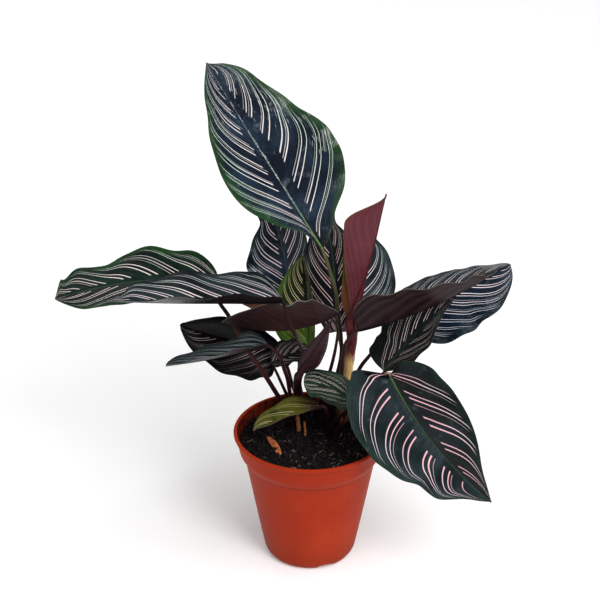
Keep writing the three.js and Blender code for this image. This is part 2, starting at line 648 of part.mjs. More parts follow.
// The chip is a narrow pointed scale, bent along its length. grow fattens it all round.
function makeChip(grow = 0) {
  const [start, end] = CHIP_ENDS.map(vector);
  const along = end.clone().sub(start).normalize();
  start.addScaledVector(along, -grow);
  end.addScaledVector(along, grow);
  const side = new THREE.Vector3().crossVectors(along, new THREE.Vector3(0, 0, 1)).normalize();
  const upper = new THREE.Vector3().crossVectors(side, along);
  const places = [];
  const faces = [];
  for (let i = 0; i <= CHIP_ROWS; i += 1) {
    const t = i / CHIP_ROWS;
    const half = (CHIP_WIDTH / 2) * Math.max(0.25, Math.sin(Math.PI * (0.15 + 0.8 * t))) + grow;
    const middle = start
      .clone()
      .lerp(end, t)
      .addScaledVector(upper, CHIP_ARCH * Math.sin(Math.PI * t));
    const thick = CHIP_THICKNESS / 2 + grow;
    for (const [x, z] of [[-half, -thick], [half, -thick], [half, thick], [-half, thick]]) {
      places.push(middle.clone().addScaledVector(side, x).addScaledVector(upper, z));
    }
  }
  for (let i = 0; i < CHIP_ROWS; i += 1) {
    for (let k = 0; k < 4; k += 1) {
      const a = i * 4 + k;
      const b = i * 4 + ((k + 1) % 4);
      faces.push([a, a + 4, b + 4], [a, b + 4, b]);
    }
  }
  const last = CHIP_ROWS * 4;
  faces.push([0, 1, 2], [0, 2, 3]);
  faces.push([last, last + 2, last + 1], [last, last + 3, last + 2]);
  return solid(surface(places, faces));
}

// Soil

// The soil: an uneven top of rings, a side that follows the pot, and a flat bottom.
function makeSoilBody(random) {
  const places = [new THREE.Vector3(0, 0, SOIL_TOP)];
  const faces = [];
  const ring = (radius, height, bump) => {
    for (let k = 0; k < SOIL_SIDES; k += 1) {
      const angle = (2 * Math.PI * k) / SOIL_SIDES;
      const rise = bump * (2 * random() - 1);
      places.push(
        new THREE.Vector3(radius * Math.cos(angle), radius * Math.sin(angle), height + rise),
      );
    }
  };
  for (const radius of SOIL_RINGS) ring(radius, SOIL_TOP, SOIL_BUMP);
  ring(SOIL_RADIUS, SOIL_TOP - 0.8, 0.3);
  // Below its top the side keeps a small gap to the corners of the pot's wall.
  const levels = POT_INSIDE.slice(1);
  for (const [radius, height] of levels) ring(radius - SOIL_GAP, height + SOIL_GAP, 0);
  ring(POT_FLAT_RADIUS - 1, SOIL_FLOOR, 0);
  const rings = SOIL_RINGS.length + levels.length + 2;
  for (let k = 0; k < SOIL_SIDES; k += 1) {
    faces.push([0, 1 + k, 1 + ((k + 1) % SOIL_SIDES)]);
    for (let i = 0; i < rings - 1; i += 1) {
      const a = 1 + i * SOIL_SIDES + k;
      const b = 1 + i * SOIL_SIDES + ((k + 1) % SOIL_SIDES);
      faces.push([a, a + SOIL_SIDES, b + SOIL_SIDES], [a, b + SOIL_SIDES, b]);
    }
  }
  const bottom = places.length;
  places.push(new THREE.Vector3(0, 0, SOIL_FLOOR));
  const lowest = 1 + (rings - 1) * SOIL_SIDES;
  for (let k = 0; k < SOIL_SIDES; k += 1) {
    faces.push([bottom, lowest + ((k + 1) % SOIL_SIDES), lowest + k]);
  }
  return solid(surface(places, faces));
}

// Crumbs are half sunk in the soil, clear of every stalk and of the pot's wall.
function addCrumbs(soil, roots, random) {
  let body = soil;
  let made = 0;
  while (made < CRUMB_COUNT) {
    const angle = 2 * Math.PI * random();
    const distance = CRUMB_FIELD * Math.sqrt(random());
    const size = between(...CRUMB_SIZES, random());
    const [x, y] = [distance * Math.cos(angle), distance * Math.sin(angle)];
    const free = roots.every(([a, b]) => Math.hypot(a - x, b - y) > CRUMB_CLEAR + size);
    if (!free || distance + size > CRUMB_FIELD) continue;
    const place = new THREE.Matrix4()
      .makeRotationFromEuler(new THREE.Euler(3 * random(), 3 * random(), 0))
      .setPosition(x, y, SOIL_TOP - 0.2 * size);
    body = body.add(solid(new THREE.IcosahedronGeometry(size, 0), place));
    made += 1;
  }
  return body;
}

function makeSoil(leaves) {
  const random = seededNumbers(7);
  const chipMiddle = CHIP_ENDS[0].map((value, k) => (value + CHIP_ENDS[1][k]) / 2);
  const roots = [
    ...leaves.map(({ leaf }) => leaf.root),
    ...Object.values(STUBS).map((stub) => stub.root),
    ...CHIP_ENDS,
    chipMiddle,
  ];
  let body = addCrumbs(makeSoilBody(random), roots, random);
  for (const leaf of leaves) body = body.subtract(stalkSocket(leaf));
  for (const stub of Object.values(STUBS)) {
    const line = stubLine(stub);
    line.points[2].z -= STEM_SOCKET;
    body = body.subtract(makeStub(line, STEM_SOCKET));
  }
  return body.subtract(makeChip(STEM_SOCKET));
}

// The plant in its pot
const plant = new THREE.Group();
plant.name = "pinstripe_calathea";
plant.add(meshOf("pot", makePot(), POT_COLOUR, 0.5));
const leaves = Object.values(LEAVES).map(completeLeaf);
plant.add(meshOf("soil", makeSoil(leaves), SOIL_COLOUR, 0.95));
Object.keys(LEAVES).forEach((name, k) => {
  plant.add(meshOf(name, makeLeaf(leaves[k]), leaves[k].leaf.colour, 0.45));
});
for (const [name, stub] of Object.entries(STUBS)) {
  plant.add(meshOf(name, makeStub(stubLine(stub)), STUB_COLOUR, 0.9));
}
plant.add(meshOf("dry_chip", makeChip(), CHIP_COLOUR, 0.9));

export default plant;
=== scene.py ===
# %% [markdown]
# # A pinstripe calathea in its plastic pot
#
# The real thing is a houseplant: twenty thin waved leaves on slim stalks, dark crumbly soil and a
# terracotta-coloured nursery pot. The CAD gives each of them as a coarse solid, and this script
# stands finer pieces in their places. The leaves could be sculpted by hand or bent from flat cards,
# but then each one would need its own work. Here one formula makes them all from a table of
# numbers, so a leaf is changed by changing a number, and the stripes always follow its bends.

import bpy
import numpy as np
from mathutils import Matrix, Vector


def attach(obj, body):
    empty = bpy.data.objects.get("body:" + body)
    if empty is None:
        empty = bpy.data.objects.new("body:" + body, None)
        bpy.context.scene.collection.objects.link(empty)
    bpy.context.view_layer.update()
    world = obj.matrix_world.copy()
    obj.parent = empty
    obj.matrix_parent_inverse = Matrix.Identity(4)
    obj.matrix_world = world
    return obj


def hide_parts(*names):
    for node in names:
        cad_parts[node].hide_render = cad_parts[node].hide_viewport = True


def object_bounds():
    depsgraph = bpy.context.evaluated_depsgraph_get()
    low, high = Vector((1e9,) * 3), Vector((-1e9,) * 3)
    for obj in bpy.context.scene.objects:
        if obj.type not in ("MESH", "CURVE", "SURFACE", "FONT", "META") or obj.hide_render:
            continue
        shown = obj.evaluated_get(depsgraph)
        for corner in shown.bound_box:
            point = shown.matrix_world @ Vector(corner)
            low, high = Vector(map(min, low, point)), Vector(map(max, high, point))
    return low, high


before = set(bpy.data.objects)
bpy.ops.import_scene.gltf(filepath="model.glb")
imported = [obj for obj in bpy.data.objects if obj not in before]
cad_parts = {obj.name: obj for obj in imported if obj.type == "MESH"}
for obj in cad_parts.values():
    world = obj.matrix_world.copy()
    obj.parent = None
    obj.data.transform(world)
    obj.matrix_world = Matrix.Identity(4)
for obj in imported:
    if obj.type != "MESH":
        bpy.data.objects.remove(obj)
cad_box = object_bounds()
print("CAD nodes", len(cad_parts), "box", cad_box)

# %% [markdown]
# ## Small helpers
#
# Every piece is worked out in millimetres as whole numpy arrays and stored in metres. Blender's own
# mesh operators could build the shapes step by step, but arrays are faster and each formula stays
# readable. Shaders use linear colours, so the sRGB colours read from the photo are converted.

# %% Colours and directions
MM = 0.001


def linear(colour):
    """sRGB 0-255 to linear 0-1: c/12.92 below 0.04045, else ((c + 0.055)/1.055)^2.4."""
    c = np.asarray(colour, float) / 255
    c = np.where(c < 0.04045, c / 12.92, ((c + 0.055) / 1.055) ** 2.4)
    return (*c.tolist(), 1.0)


def unit(a):
    """Vectors scaled to length 1."""
    return a / np.maximum(np.linalg.norm(a, axis=-1, keepdims=True), 1e-9)


print("white in linear values", linear((255, 255, 255)))


# %% A mesh piece from arrays
def new_piece(name, points_mm, faces, material, node, uv=None, values=None, smooth=40):
    """A mesh object from points in mm and quads or triangles, riding on the root body.

    It stands for the CAD node. uv is one pair for each vertex. values maps an attribute's name to
    one number for each vertex. Edges sharper than smooth degrees stay sharp.
    """
    mesh = bpy.data.meshes.new(name)
    size = faces.shape[1]
    mesh.vertices.add(len(points_mm))
    mesh.vertices.foreach_set("co", (np.asarray(points_mm) * MM).astype(np.float32).ravel())
    mesh.loops.add(faces.size)
    mesh.loops.foreach_set("vertex_index", faces.ravel().astype(np.int32))
    mesh.polygons.add(len(faces))
    mesh.polygons.foreach_set("loop_start", np.arange(0, faces.size, size, dtype=np.int32))
    mesh.polygons.foreach_set("loop_total", np.full(len(faces), size, dtype=np.int32))
    mesh.update(calc_edges=True)
    if uv is not None:
        layer = mesh.uv_layers.new(name="Leaf")
        layer.uv.foreach_set("vector", uv[faces.ravel()].astype(np.float32).ravel())
    for key, numbers in (values or {}).items():
        layer = mesh.attributes.new(key, "FLOAT", "POINT")
        layer.data.foreach_set("value", numbers.astype(np.float32))
    mesh.polygons.foreach_set("use_smooth", np.ones(len(faces), dtype=bool))
    mesh.set_sharp_from_angle(angle=np.radians(smooth))
    mesh.materials.append(material)
    mesh.validate()
    piece = bpy.data.objects.new(name, mesh)
    bpy.context.scene.collection.objects.link(piece)
    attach(piece, "root")
    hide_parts(node)
    return piece


# %% Faces of grids, sheets and tubes
def grid_faces(rows, cols, wrap=False):
    """Quads of a grid numbered row by row; wrap joins its last column to its first."""
    i, j = np.meshgrid(np.arange(rows - 1), np.arange(cols if wrap else cols - 1), indexing="ij")
    a, b = i * cols + j, i * cols + (j + 1) % cols
    return np.stack([a, b, b + cols, a + cols], -1).reshape(-1, 4)


def closed_sheet(top, low):
    """A thin closed sheet: the grid of points on top, the grid below turned over, and a rim."""
    rows, cols = top.shape[:2]
    n = rows * cols
    face = grid_faces(rows, cols)
    i, j = np.arange(rows - 1), np.arange(cols - 1)
    margins = ((j, j + 1), ((rows - 1) * cols + j + 1, (rows - 1) * cols + j),
               ((i + 1) * cols, i * cols), ((i + 1) * cols - 1, (i + 2) * cols - 1))
    rim = [np.stack([b, a, a + n, b + n], -1) for a, b in margins]
    points = np.concatenate([top.reshape(-1, 3), low.reshape(-1, 3)])
    return points, np.concatenate([face, face[:, ::-1] + n, *rim])


def closed_tube(rings, first, last, inside_out=False):
    """Triangles round equal rings of points, with a fan to a point, first or last, at each end."""
    count, sides = rings.shape[:2]
    n, k = count * sides, np.arange(sides)
    start = n - sides
    quads = grid_faces(count, sides, wrap=True)
    fans = np.concatenate([
        np.stack([np.full(sides, n), (k + 1) % sides, k], -1),
        np.stack([np.full(sides, n + 1), start + k, start + (k + 1) % sides], -1)])
    if inside_out:
        quads, fans = quads[:, ::-1], fans[:, ::-1]
    faces = np.concatenate([quads[:, [0, 1, 2]], quads[:, [0, 2, 3]], fans])
    return np.concatenate([rings.reshape(-1, 3), [first, last]]), faces


print("a sheet of 3 x 3 points has", len(closed_sheet(*np.zeros((2, 3, 3, 3)))[1]), "faces")

# %% [markdown]
# ## The leaves' shapes
#
# A calathea's leaf is one blade on one stalk. Its blade is widest below the middle, its margin
# waves, and its two halves lift and curl each in its own way, so that most leaves lie like shallow
# troughs.
#
# The table holds the same numbers as the CAD, in mm and degrees. The midrib runs from base to tip,
# bowed by arch (towards the leaf's upper side, which up and roll give) and bend (sideways). Each
# half leaves the midrib at a slope that goes from the first number of left or right at the base to
# the second at the tip, and curls on by the third out to the margin. half scales the halves'
# widths. shape is the outline (widest place, fullness of base and tip), wave the height, count and
# phase of the margin's waves. swells lists where a margin stands out or in (half, place, height,
# length), lobes pushes the corners beside the stalk back, and lean says how the veins of the left
# and the right half turn to the tip. stalk, root and radius are the stalk's points, foot and
# thickness.

# %% Values of a plain leaf
FRONT = (0, -1, 0)
PLAIN = dict(up=(0, 0, 1), roll=0, arch=(0, 0), bend=(0, 0), left=(10, 10, 0), right=(10, 10, 0),
             half=(1, 1), wave=(1, 3, 0.2), lobes=(0, 0), swells=(), shape_right=None,
             lean=((0.35, 0.12), (0.35, 0.12)), slot="leaf_striped")
print("values of a plain leaf", len(PLAIN))

# %% Leaves at the top and the back
LEAVES = {
    "leaf_top": dict(
        base=(9, 20, 255), tip=(-78, 75, 383), up=FRONT, roll=24, width=106,
        arch=(0, 4), bend=(0, -2), left=(20, 24, 10), right=(14, 20, -5), half=(0.8, 0.98),
        wave=(1.5, 5, 0.1), shape=(0.46, 1.5, 1), shape_right=(0.38, 0.95, 1.2),
        swells=((-1, 0.12, -4.5, 0.06), (-1, 0.42, 2, 0.15), (-1, 0.78, -2, 0.06),
                (1, 0.12, -4.5, 0.05), (1, 0.46, 1.5, 0.05), (1, 0.6, -2.5, 0.06),
                (1, 0.9, 8.5, 0.1)),
        lean=((0.35, 0.05), (0.28, 0.2)),
        stalk=((13, 20, 242), (20, 24, 213), (21, 28, 186), (25, 32, 162), (25, 36, 133)),
        root=(17, 38), radius=(1.3, 2.2)),
    "leaf_back_left": dict(
        base=(-16, 74, 181), tip=(-38, 104, 266), up=FRONT, width=47,
        arch=(4, 4), bend=(6, 8), left=(12, 12, 10), right=(12, 12, 10), half=(1.15, 0.95),
        wave=(1, 4, 0.2), shape=(0.32, 0.5, 0.8), shape_right=(0.55, 1.5, 0.8),
        swells=((-1, 0.4, 5, 0.12), (-1, 0.75, -6, 0.08)),
        lean=((0.3, 0.12), (0.3, 0.12)),
        stalk=((-10, 70, 169), (-4, 66, 156), (0, 60, 145)),
        root=(-1, 48), radius=(1, 1.8)),
    "leaf_back_middle": dict(
        base=(22, 54, 167), tip=(8, 90, 261), up=FRONT, width=54,
        arch=(4, 4), bend=(3, 8), left=(15, 10, 10), right=(15, 10, 10), half=(1, 0.8),
        wave=(1, 4, 0.2), shape=(0.38, 0.4, 1), lobes=(5, 5),
        swells=((-1, 0.08, -5, 0.06), (1, 0.83, -2, 0.05), (1, 0.93, 4, 0.05)),
        stalk=((21, 53, 157), (18, 51, 141)),
        root=(9, 47), radius=(1, 1.8)),
    "leaf_back_right": dict(
        base=(38, 66, 165), tip=(34, 104, 241), up=FRONT, width=66,
        arch=(4, 4), left=(10, 10, 10), right=(10, 10, 10), half=(0.7, 1),
        wave=(1, 4, 0.2), shape=(0.4, 0.5, 1),
        swells=((1, 0.2, -2.5, 0.08), (1, 0.72, 1.8, 0.12), (1, 0.88, 2, 0.05)),
        lean=((0.3, 0.2), (0.3, 0.35)),
        stalk=((36, 64, 149), (32, 58, 128)),
        root=(16, 45.5), radius=(1, 1.8)),
    "leaf_red_upright": dict(
        base=(30, 10, 198), tip=(56, 20, 300), up=FRONT, roll=180, width=58,
        arch=(4, 4), bend=(-5, -2), left=(150, 160, 30), right=(-5, -5, 10),
        half=(0.78, 0.83), wave=(0.5, 3, 0.2), shape=(0.42, 0.8, 1.2),
        shape_right=(0.72, 1.3, 2.4),
        swells=((-1, 0.3, -4, 0.15), (1, 0.8, 2.5, 0.15)),
        lean=((0.6, 0.15), (0.6, 0.15)),
        stalk=((32, 12, 183), (30, 15, 162), (29, 19, 142)),
        root=(22, 22), radius=(4.6, 2.6), slot="leaf_underside"),
}
print("leaves so far", len(LEAVES))

# %% Leaves at the left
LEAVES |= {
    "leaf_left_far": dict(
        base=(-71, 42, 216), tip=(-197, 30, 208), width=78,
        arch=(12, 10), bend=(0, -2), left=(9, -8, 0), right=(20, 14, 0),
        wave=(1, 4, 0.2), shape=(0.4, 0.5, 0.8), shape_right=(0.3, 0.5, 0.95),
        swells=((-1, 0.64, -3.5, 0.06), (-1, 0.8, 4, 0.08), (1, 0.24, -6, 0.09),
                (1, 0.66, -6, 0.07), (1, 0.87, 13.5, 0.1), (1, 0.98, 14, 0.035)),
        lean=((0.45, 0.1), (0.32, 0.2)),
        stalk=((-72, 34, 212), (-70, 26, 207), (-62, 18, 198), (-47, 13, 170), (-37, 12, 154),
               (-22, 26, 118)),
        root=(-14, 29), radius=(1.3, 2.2)),
    "leaf_left_near": dict(
        base=(-21, -14, 228), tip=(-144, -34, 238), width=80,
        arch=(-1.5, -1.5), left=(36, 29, 0), right=(5, 5, 0), half=(1, 1.1),
        wave=(1.8, 2.85, 0.34), shape=(0.4, 0.4, 0.6), shape_right=(0.3, 0.45, 0.5),
        swells=((1, 0.07, 11, 0.08), (1, 0.58, 3.5, 0.15), (1, 0.95, -7, 0.05)),
        lean=((0.42, 0.12), (0.42, 0.12)),
        stalk=((-19, -19, 225), (-16, -21, 216), (-12, -16, 203), (-8, 6, 181), (-5, 11, 168),
               (-1, 19, 144)),
        root=(5, 32), radius=(1, 1.8)),
    "leaf_left_middle": dict(
        base=(21, 13, 205), tip=(-67, 1, 203), width=70,
        arch=(-17, -13), left=(60, 60, 0), right=(35, 35, 0), half=(1, 0.45),
        wave=(2.6, 3, 0.42), shape=(0.45, 0.5, 0.65),
        swells=((-1, 0.12, 12, 0.08), (-1, 0.4, 3, 0.15), (-1, 0.76, 9.5, 0.1)),
        lean=((0.4, 0.2), (0.4, 0.2)),
        stalk=((22, 16, 197), (24, 20, 177), (23, 25, 153)),
        root=(12, 27), radius=(1.1, 1.9), slot="leaf_underside"),
    "leaf_left_dark": dict(
        base=(-27, 46, 156), tip=(-102, 40, 180), width=58,
        arch=(-2, -2), left=(-32, -32, 0), right=(60, 60, 90), half=(1.12, 0.7),
        shape=(0.35, 0.5, 0.7),
        swells=((-1, 0.05, 9, 0.06), (-1, 0.2, 2.5, 0.1), (1, 0.68, 6, 0.14)),
        lobes=(4, 8),
        lean=((0.55, 0.1), (0.55, 0.1)),
        stalk=((-23, 46, 148), (-18, 45, 139), (-14, 43, 124)),
        root=(-8, 43), radius=(1.1, 1.8)),
    "leaf_left_small": dict(
        base=(-32, -12, 190), tip=(-108, -30, 182), width=40,
        arch=(-2, -2), left=(40, 32, 0), right=(4, 0, 0), half=(1, 1.06),
        shape=(0.35, 0.5, 0.4), shape_right=(0.2, 0.4, 0.5),
        swells=((1, 0.1, 7, 0.1),),
        lean=((0.55, 0.12), (0.55, 0.12)),
        stalk=((-28, -11, 186), (-23, -8, 177), (-20, 0, 162), (-17, 9, 145)),
        root=(-13, 15), radius=(1.1, 1.9)),
}
print("leaves so far", len(LEAVES))

# %% Leaves at the front
LEAVES |= {
    "leaf_folded": dict(
        base=(-9, 3, 157), tip=(16, -16, 214), up=FRONT, roll=180, width=19,
        bend=(0, -2), left=(5, 5, 50), right=(5, 5, 50), half=(1.5, 0.6),
        wave=(0.5, 3, 0.2), shape=(0.15, 0.5, 1.8), shape_right=(0.3, 0.5, 0.9),
        lean=((0.6, 0.2), (0.6, 0.2)),
        stalk=((-10, 11, 142), (-9, 16, 126)),
        root=(-4, 20), radius=(3.4, 2.6), slot="leaf_underside"),
    "leaf_front_small": dict(
        base=(33, -12, 142), tip=(-5, -16, 160), width=44,
        arch=(4, 4), left=(-20, -20, 0), right=(25, 25, 0), half=(0.7, 0.8),
        wave=(0.6, 3, 0.2), shape=(0.4, 0.5, 0.35),
        swells=((-1, 0.9, 2.5, 0.08), (-1, 0.25, 2.5, 0.12), (1, 0.1, 4, 0.06),
                (1, 0.58, -2, 0.1)),
        lean=((1.5, 0.3), (1.5, 0.3)),
        stalk=((31, -6, 133),),
        root=(15, 9), radius=(1.2, 1.9)),
    "leaf_front_green": dict(
        base=(7, -6, 134), tip=(-44, -20, 120), width=38,
        arch=(1, 1), left=(32, 32, 0), right=(28, 28, 0), half=(1, 0.78),
        wave=(1, 2, 0.2), shape=(0.4, 0.5, 0.7),
        lean=((0.65, 0.2), (0.65, 0.2)),
        stalk=((11, 0, 128), (13, 6, 117)),
        root=(10, 18), radius=(1.4, 1.9), slot="leaf_young"),
    "leaf_front_right": dict(
        base=(59, -32, 176), tip=(134, -81, 95), roll=62, width=90,
        arch=(10, 8), bend=(7, 7), left=(16, 16, -10), right=(16, 16, -10),
        half=(0.845, 0.98), shape=(0.32, 0.5, 1), shape_right=(0.2, 0.3, 1.05), lobes=(18, 34),
        swells=((-1, 0.1, 4, 0.06), (-1, 0.82, -2.8, 0.12), (1, 0.03, -5, 0.03),
                (1, 0.38, 1.2, 0.06), (1, 0.62, -2.6, 0.05), (1, 0.76, 3.4, 0.06),
                (1, 0.88, -1.5, 0.06)),
        lean=((0.38, 0.12), (0.1, 0.33)),
        stalk=((55, -22, 169), (46, -11, 149), (32, -3, 125)),
        root=(20, 3), radius=(1.6, 2.4)),
}
print("leaves so far", len(LEAVES))

# %% Leaves at the right
LEAVES |= {
    "leaf_right_low": dict(
        base=(56, -5, 164), tip=(108, 9, 219), width=64,
        arch=(2, 2), left=(25, 25, 0), right=(11, 9, 0), half=(0.92, 1), lobes=(4, 0),
        wave=(1, 4, 0.2), shape=(0.36, 0.35, 0.7), shape_right=(0.45, 0.9, 0.8),
        swells=((-1, 0.05, 3.5, 0.05), (-1, 0.24, -4, 0.05), (1, 0.38, 2, 0.12),
                (1, 0.8, -12, 0.12)),
        lean=((0.55, 0.1), (0.5, 0.2)),
        stalk=((53, -2, 156), (43, 6, 134)),
        root=(30, 15), radius=(1.3, 2)),
    "leaf_right_middle": dict(
        base=(35, 0, 197), tip=(139, 1, 246), width=70,
        arch=(-9, -8), left=(78, 72, 0), right=(68, 55, 0), half=(0.4, 1),
        wave=(1.5, 4, 0.2), shape=(0.16, 0.25, 1.2),
        swells=((1, 0.86, 5, 0.04), (1, 0.93, -2, 0.03)),
        lean=((0.5, 0.2), (0.5, 0.2)),
        stalk=((32, 1, 192), (27, 4, 183), (25, 7, 169), (24, 10, 153)),
        root=(17, 16), radius=(1.2, 2), slot="leaf_underside"),
    "leaf_right_far": dict(
        base=(66, 34, 189), tip=(155, 50, 228), width=74,
        arch=(2, 2), left=(6, -18, 0), right=(-40, -40, -15),
        wave=(0.9, 4, 0.2), shape=(0.42, 0.5, 0.5),
        swells=((-1, 0.15, 5, 0.06), (-1, 0.38, 4, 0.06), (-1, 0.62, 4, 0.05), (1, 0.2, 2, 0.1),
                (1, 0.6, -2, 0.06)),
        lean=((0.3, 0.2), (0.6, 0.15)),
        stalk=((59, 39, 173), (49, 41, 155), (40, 42, 141), (34, 41, 125)),
        root=(26.5, 39.5), radius=(1.2, 2)),
}
print("leaves so far", len(LEAVES))

# %% Small leaves between the others
LEAVES |= {
    "leaf_young": dict(
        base=(-1, 43, 156), tip=(-6, 49, 236), up=FRONT, width=50,
        arch=(2, 2), bend=(2, 2), left=(10, 10, 10), right=(60, 60, 20), half=(1.15, 0.6),
        shape=(0.4, 0.45, 0.8),
        lean=((0.45, 0.15), (0.45, 0.15)),
        stalk=((2, 43, 145), (3, 43, 131)),
        root=(4, 41), radius=(1, 1.7), slot="leaf_young"),
    "leaf_inner_small": dict(
        base=(-30, 25, 154), tip=(0, 23, 166), width=30,
        arch=(2, 2), left=(50, 50, 0), right=(-20, -20, 0), half=(0.9, 0.6),
        shape=(0.4, 0.5, 0.6),
        lean=((0.5, 0.2), (0.5, 0.2)),
        stalk=((-26, 23, 146), (-20, 34, 124)),
        root=(-13, 38), radius=(1, 1.7)),
    "leaf_inner_brown": dict(
        base=(-16, 34, 182), tip=(-59, 27, 209), width=26,
        left=(75, 75, 0), right=(60, 60, 0), half=(1, 0.4), shape=(0.4, 0.5, 0.6),
        lean=((0.5, 0.2), (0.5, 0.2)),
        stalk=((-11, 37, 170), (-9, 37, 154), (-8, 37, 128)),
        root=(-3, 35), radius=(0.9, 1.6), slot="leaf_underside"),
}
print("leaves so far", len(LEAVES))

# %% [markdown]
# ## Blade surface
#
# On the real leaf the blade is a sheet less than a millimetre thick. It could be a flat plane that
# a lattice or cloth bends, but then its length and width would drift from the CAD. Here it is a
# surface over two numbers: t runs along the midrib from the stalk (0) to the tip (1), and u runs
# across from the left margin (-1) over the midrib (0) to the right margin (1), with v = |u|.
#
# The middle surface is M(t) + side * w x(v) + upper * (w z(v) + wave), with w the half width at t.
# A half with slope a at the midrib and curl k has x = (sin(a + k v) - sin a)/k and z = (cos a -
# cos(a + k v))/k. Veins leave the midrib and turn towards the tip: they are the lines where q = t -
# (a v + b v^4) is constant, with (a, b) the lean of that half, and the blade is pleated a little
# along them.


# %% Outline and midrib
def outline(t, shape):
    """Share of the half width: (1-(1-t/m)^2)^b up to the widest place m, then the same falling."""
    widest, base_fill, tip_fill = shape
    rise = 1 - (1 - np.clip(t / widest, 0, 1)) ** 2
    fall = 1 - (1 - np.clip((1 - t) / (1 - widest), 0, 1)) ** 2
    return np.where(t < widest, rise**base_fill, fall**tip_fill)


def midrib(leaf, t):
    """Points and unit directions of the cubic Bezier midrib, and the leaf's upper direction."""
    base, tip = np.array(leaf["base"], float), np.array(leaf["tip"], float)
    chord = tip - base
    length = np.linalg.norm(chord)
    chord = chord / length
    upper = np.array(leaf["up"], float)
    upper = unit(upper - chord * upper.dot(chord))
    a = np.radians(leaf["roll"])
    upper = upper * np.cos(a) + np.cross(chord, upper) * np.sin(a)
    side = np.cross(chord, upper)
    p1 = base + chord * length / 3 + upper * leaf["arch"][0] + side * leaf["bend"][0]
    p2 = base + chord * length * 2 / 3 + upper * leaf["arch"][1] + side * leaf["bend"][1]
    t = t[..., None]
    point = base * (1 - t) ** 3 + 3 * p1 * t * (1 - t) ** 2 + 3 * p2 * t**2 * (1 - t) + tip * t**3
    along = (p1 - base) * (1 - t) ** 2 + 2 * (p2 - p1) * t * (1 - t) + (tip - p2) * t**2
    return point, unit(along), upper


print("leaf_top is", round(float(np.linalg.norm(np.diff(midrib(
    {**PLAIN, **LEAVES["leaf_top"]}, np.linspace(0, 1, 50))[0], axis=0), axis=1).sum())), "mm long")

# %% Middle surface of the blade
SWELL_END = 0.04
NARROWEST_HALF = 0.7
FLAT_BELOW_HALF = 4
LEAST_CURL = 0.1
RIGHT_WAVE_SHIFT = 0.37
PLEAT_DEPTH = 0.16
PLEATS = 18
LOBE_LENGTH = 0.07


def bent(part, t, v, calm):
    """Share of the half width that a half reaches sideways and upwards at t and v."""
    first, last, curl = part
    lift = np.radians(first + (last - first) * t) * calm
    curl = np.radians(curl) if abs(curl) >= LEAST_CURL else 1e-3
    return ((np.sin(lift + curl * v) - np.sin(lift)) / curl,
            (np.cos(lift) - np.cos(lift + curl * v)) / curl)


def half_width(leaf, t, u):
    """Outline of the half plus bell-shaped swells, never less than the narrowest half."""
    full = leaf["width"] / 2 * np.where(
        u > 0, leaf["half"][1] * outline(t, leaf["shape_right"] or leaf["shape"]),
        leaf["half"][0] * outline(t, leaf["shape"]))
    ends = np.clip(np.minimum(t, 1 - t) / SWELL_END, 0, 1)
    for which, place, size, spread in leaf["swells"]:
        swell = size * np.exp(-(((t - place) / spread) ** 2)) * ends
        full = full + np.where(np.sign(u) == which, swell, 0)
    return np.maximum(full, NARROWEST_HALF)


def blade_surface(leaf, t, u):
    """Middle surface of the blade in mm at t, u, and the half width there."""
    point, along, upper = midrib(leaf, t)
    side = unit(np.cross(along, upper))
    upper = np.cross(side, along)
    right, v = u > 0, np.abs(u)
    half = half_width(leaf, t, u)
    calm = np.minimum(1, half / FLAT_BELOW_HALF)
    (xl, zl), (xr, zr) = bent(leaf["left"], t, v, calm), bent(leaf["right"], t, v, calm)
    x, z = np.where(right, xr, xl), np.where(right, zr, zl)
    height, count, phase = leaf["wave"]
    ends = np.sqrt(np.sin(np.pi * np.clip(t, 0, 1)))
    turns = count * t + phase + RIGHT_WAVE_SHIFT * right
    wave = height * v**2 * np.sin(2 * np.pi * turns) * ends
    slant, turn = (np.where(right, *pair[::-1]) for pair in zip(*leaf["lean"]))
    q = t - (slant * v + turn * v**4)
    pleat = PLEAT_DEPTH * np.sin(2 * np.pi * q * PLEATS) * np.clip(v * 4, 0, 1) * (1 - v**4) * ends
    lobes = np.where(right, leaf["lobes"][1], leaf["lobes"][0])
    back = (lobes * v**1.5 * np.exp(-((t / LOBE_LENGTH) ** 2))
            * np.minimum(1, half / (leaf["width"] / 2)))
    point = point + side * (half * x * np.sign(u))[..., None]
    point = point + upper * (half * z + wave + pleat)[..., None] - along * back[..., None]
    return point, half

# %% [markdown]
# A leaf thins towards its margin, and its midrib lies in a fine groove on the upper side. A
# Solidify modifier would give one thickness everywhere, so the two faces are set apart along the
# surface's normals by a formula instead. The grid is denser near the midrib and at both ends, where
# the sheet bends most.

# %% Blade with its thickness
HALF_THICKNESS = 0.34
MARGIN_THINNING = 0.55
GROOVE_DEPTH = 0.22
GROOVE_WIDTH = 0.9
GROOVE_FROM_HALF = 3
NORMAL_SMOOTHINGS = 3
ROOM_IN_BOX = 0.02
BLADE_GRID = ((121, 45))
DENSER_ENDS, DENSER_MIDRIB = 0.45, 0.2


def blade_grid(rows, cols):
    """t and u of a grid with denser rows at both ends and denser columns at the midrib.

    t goes part of the way with s and part with (1 - cos(pi s))/2, and u part with |u| and part
    with u^2.
    """
    s = np.linspace(0, 1, rows)
    ts = (1 - DENSER_ENDS) * s + DENSER_ENDS * (1 - np.cos(np.pi * s)) / 2
    us = np.linspace(-1, 1, cols)
    us = np.sign(us) * ((1 - DENSER_MIDRIB) * np.abs(us) + DENSER_MIDRIB * us**2)
    return np.meshgrid(ts, us, indexing="ij")


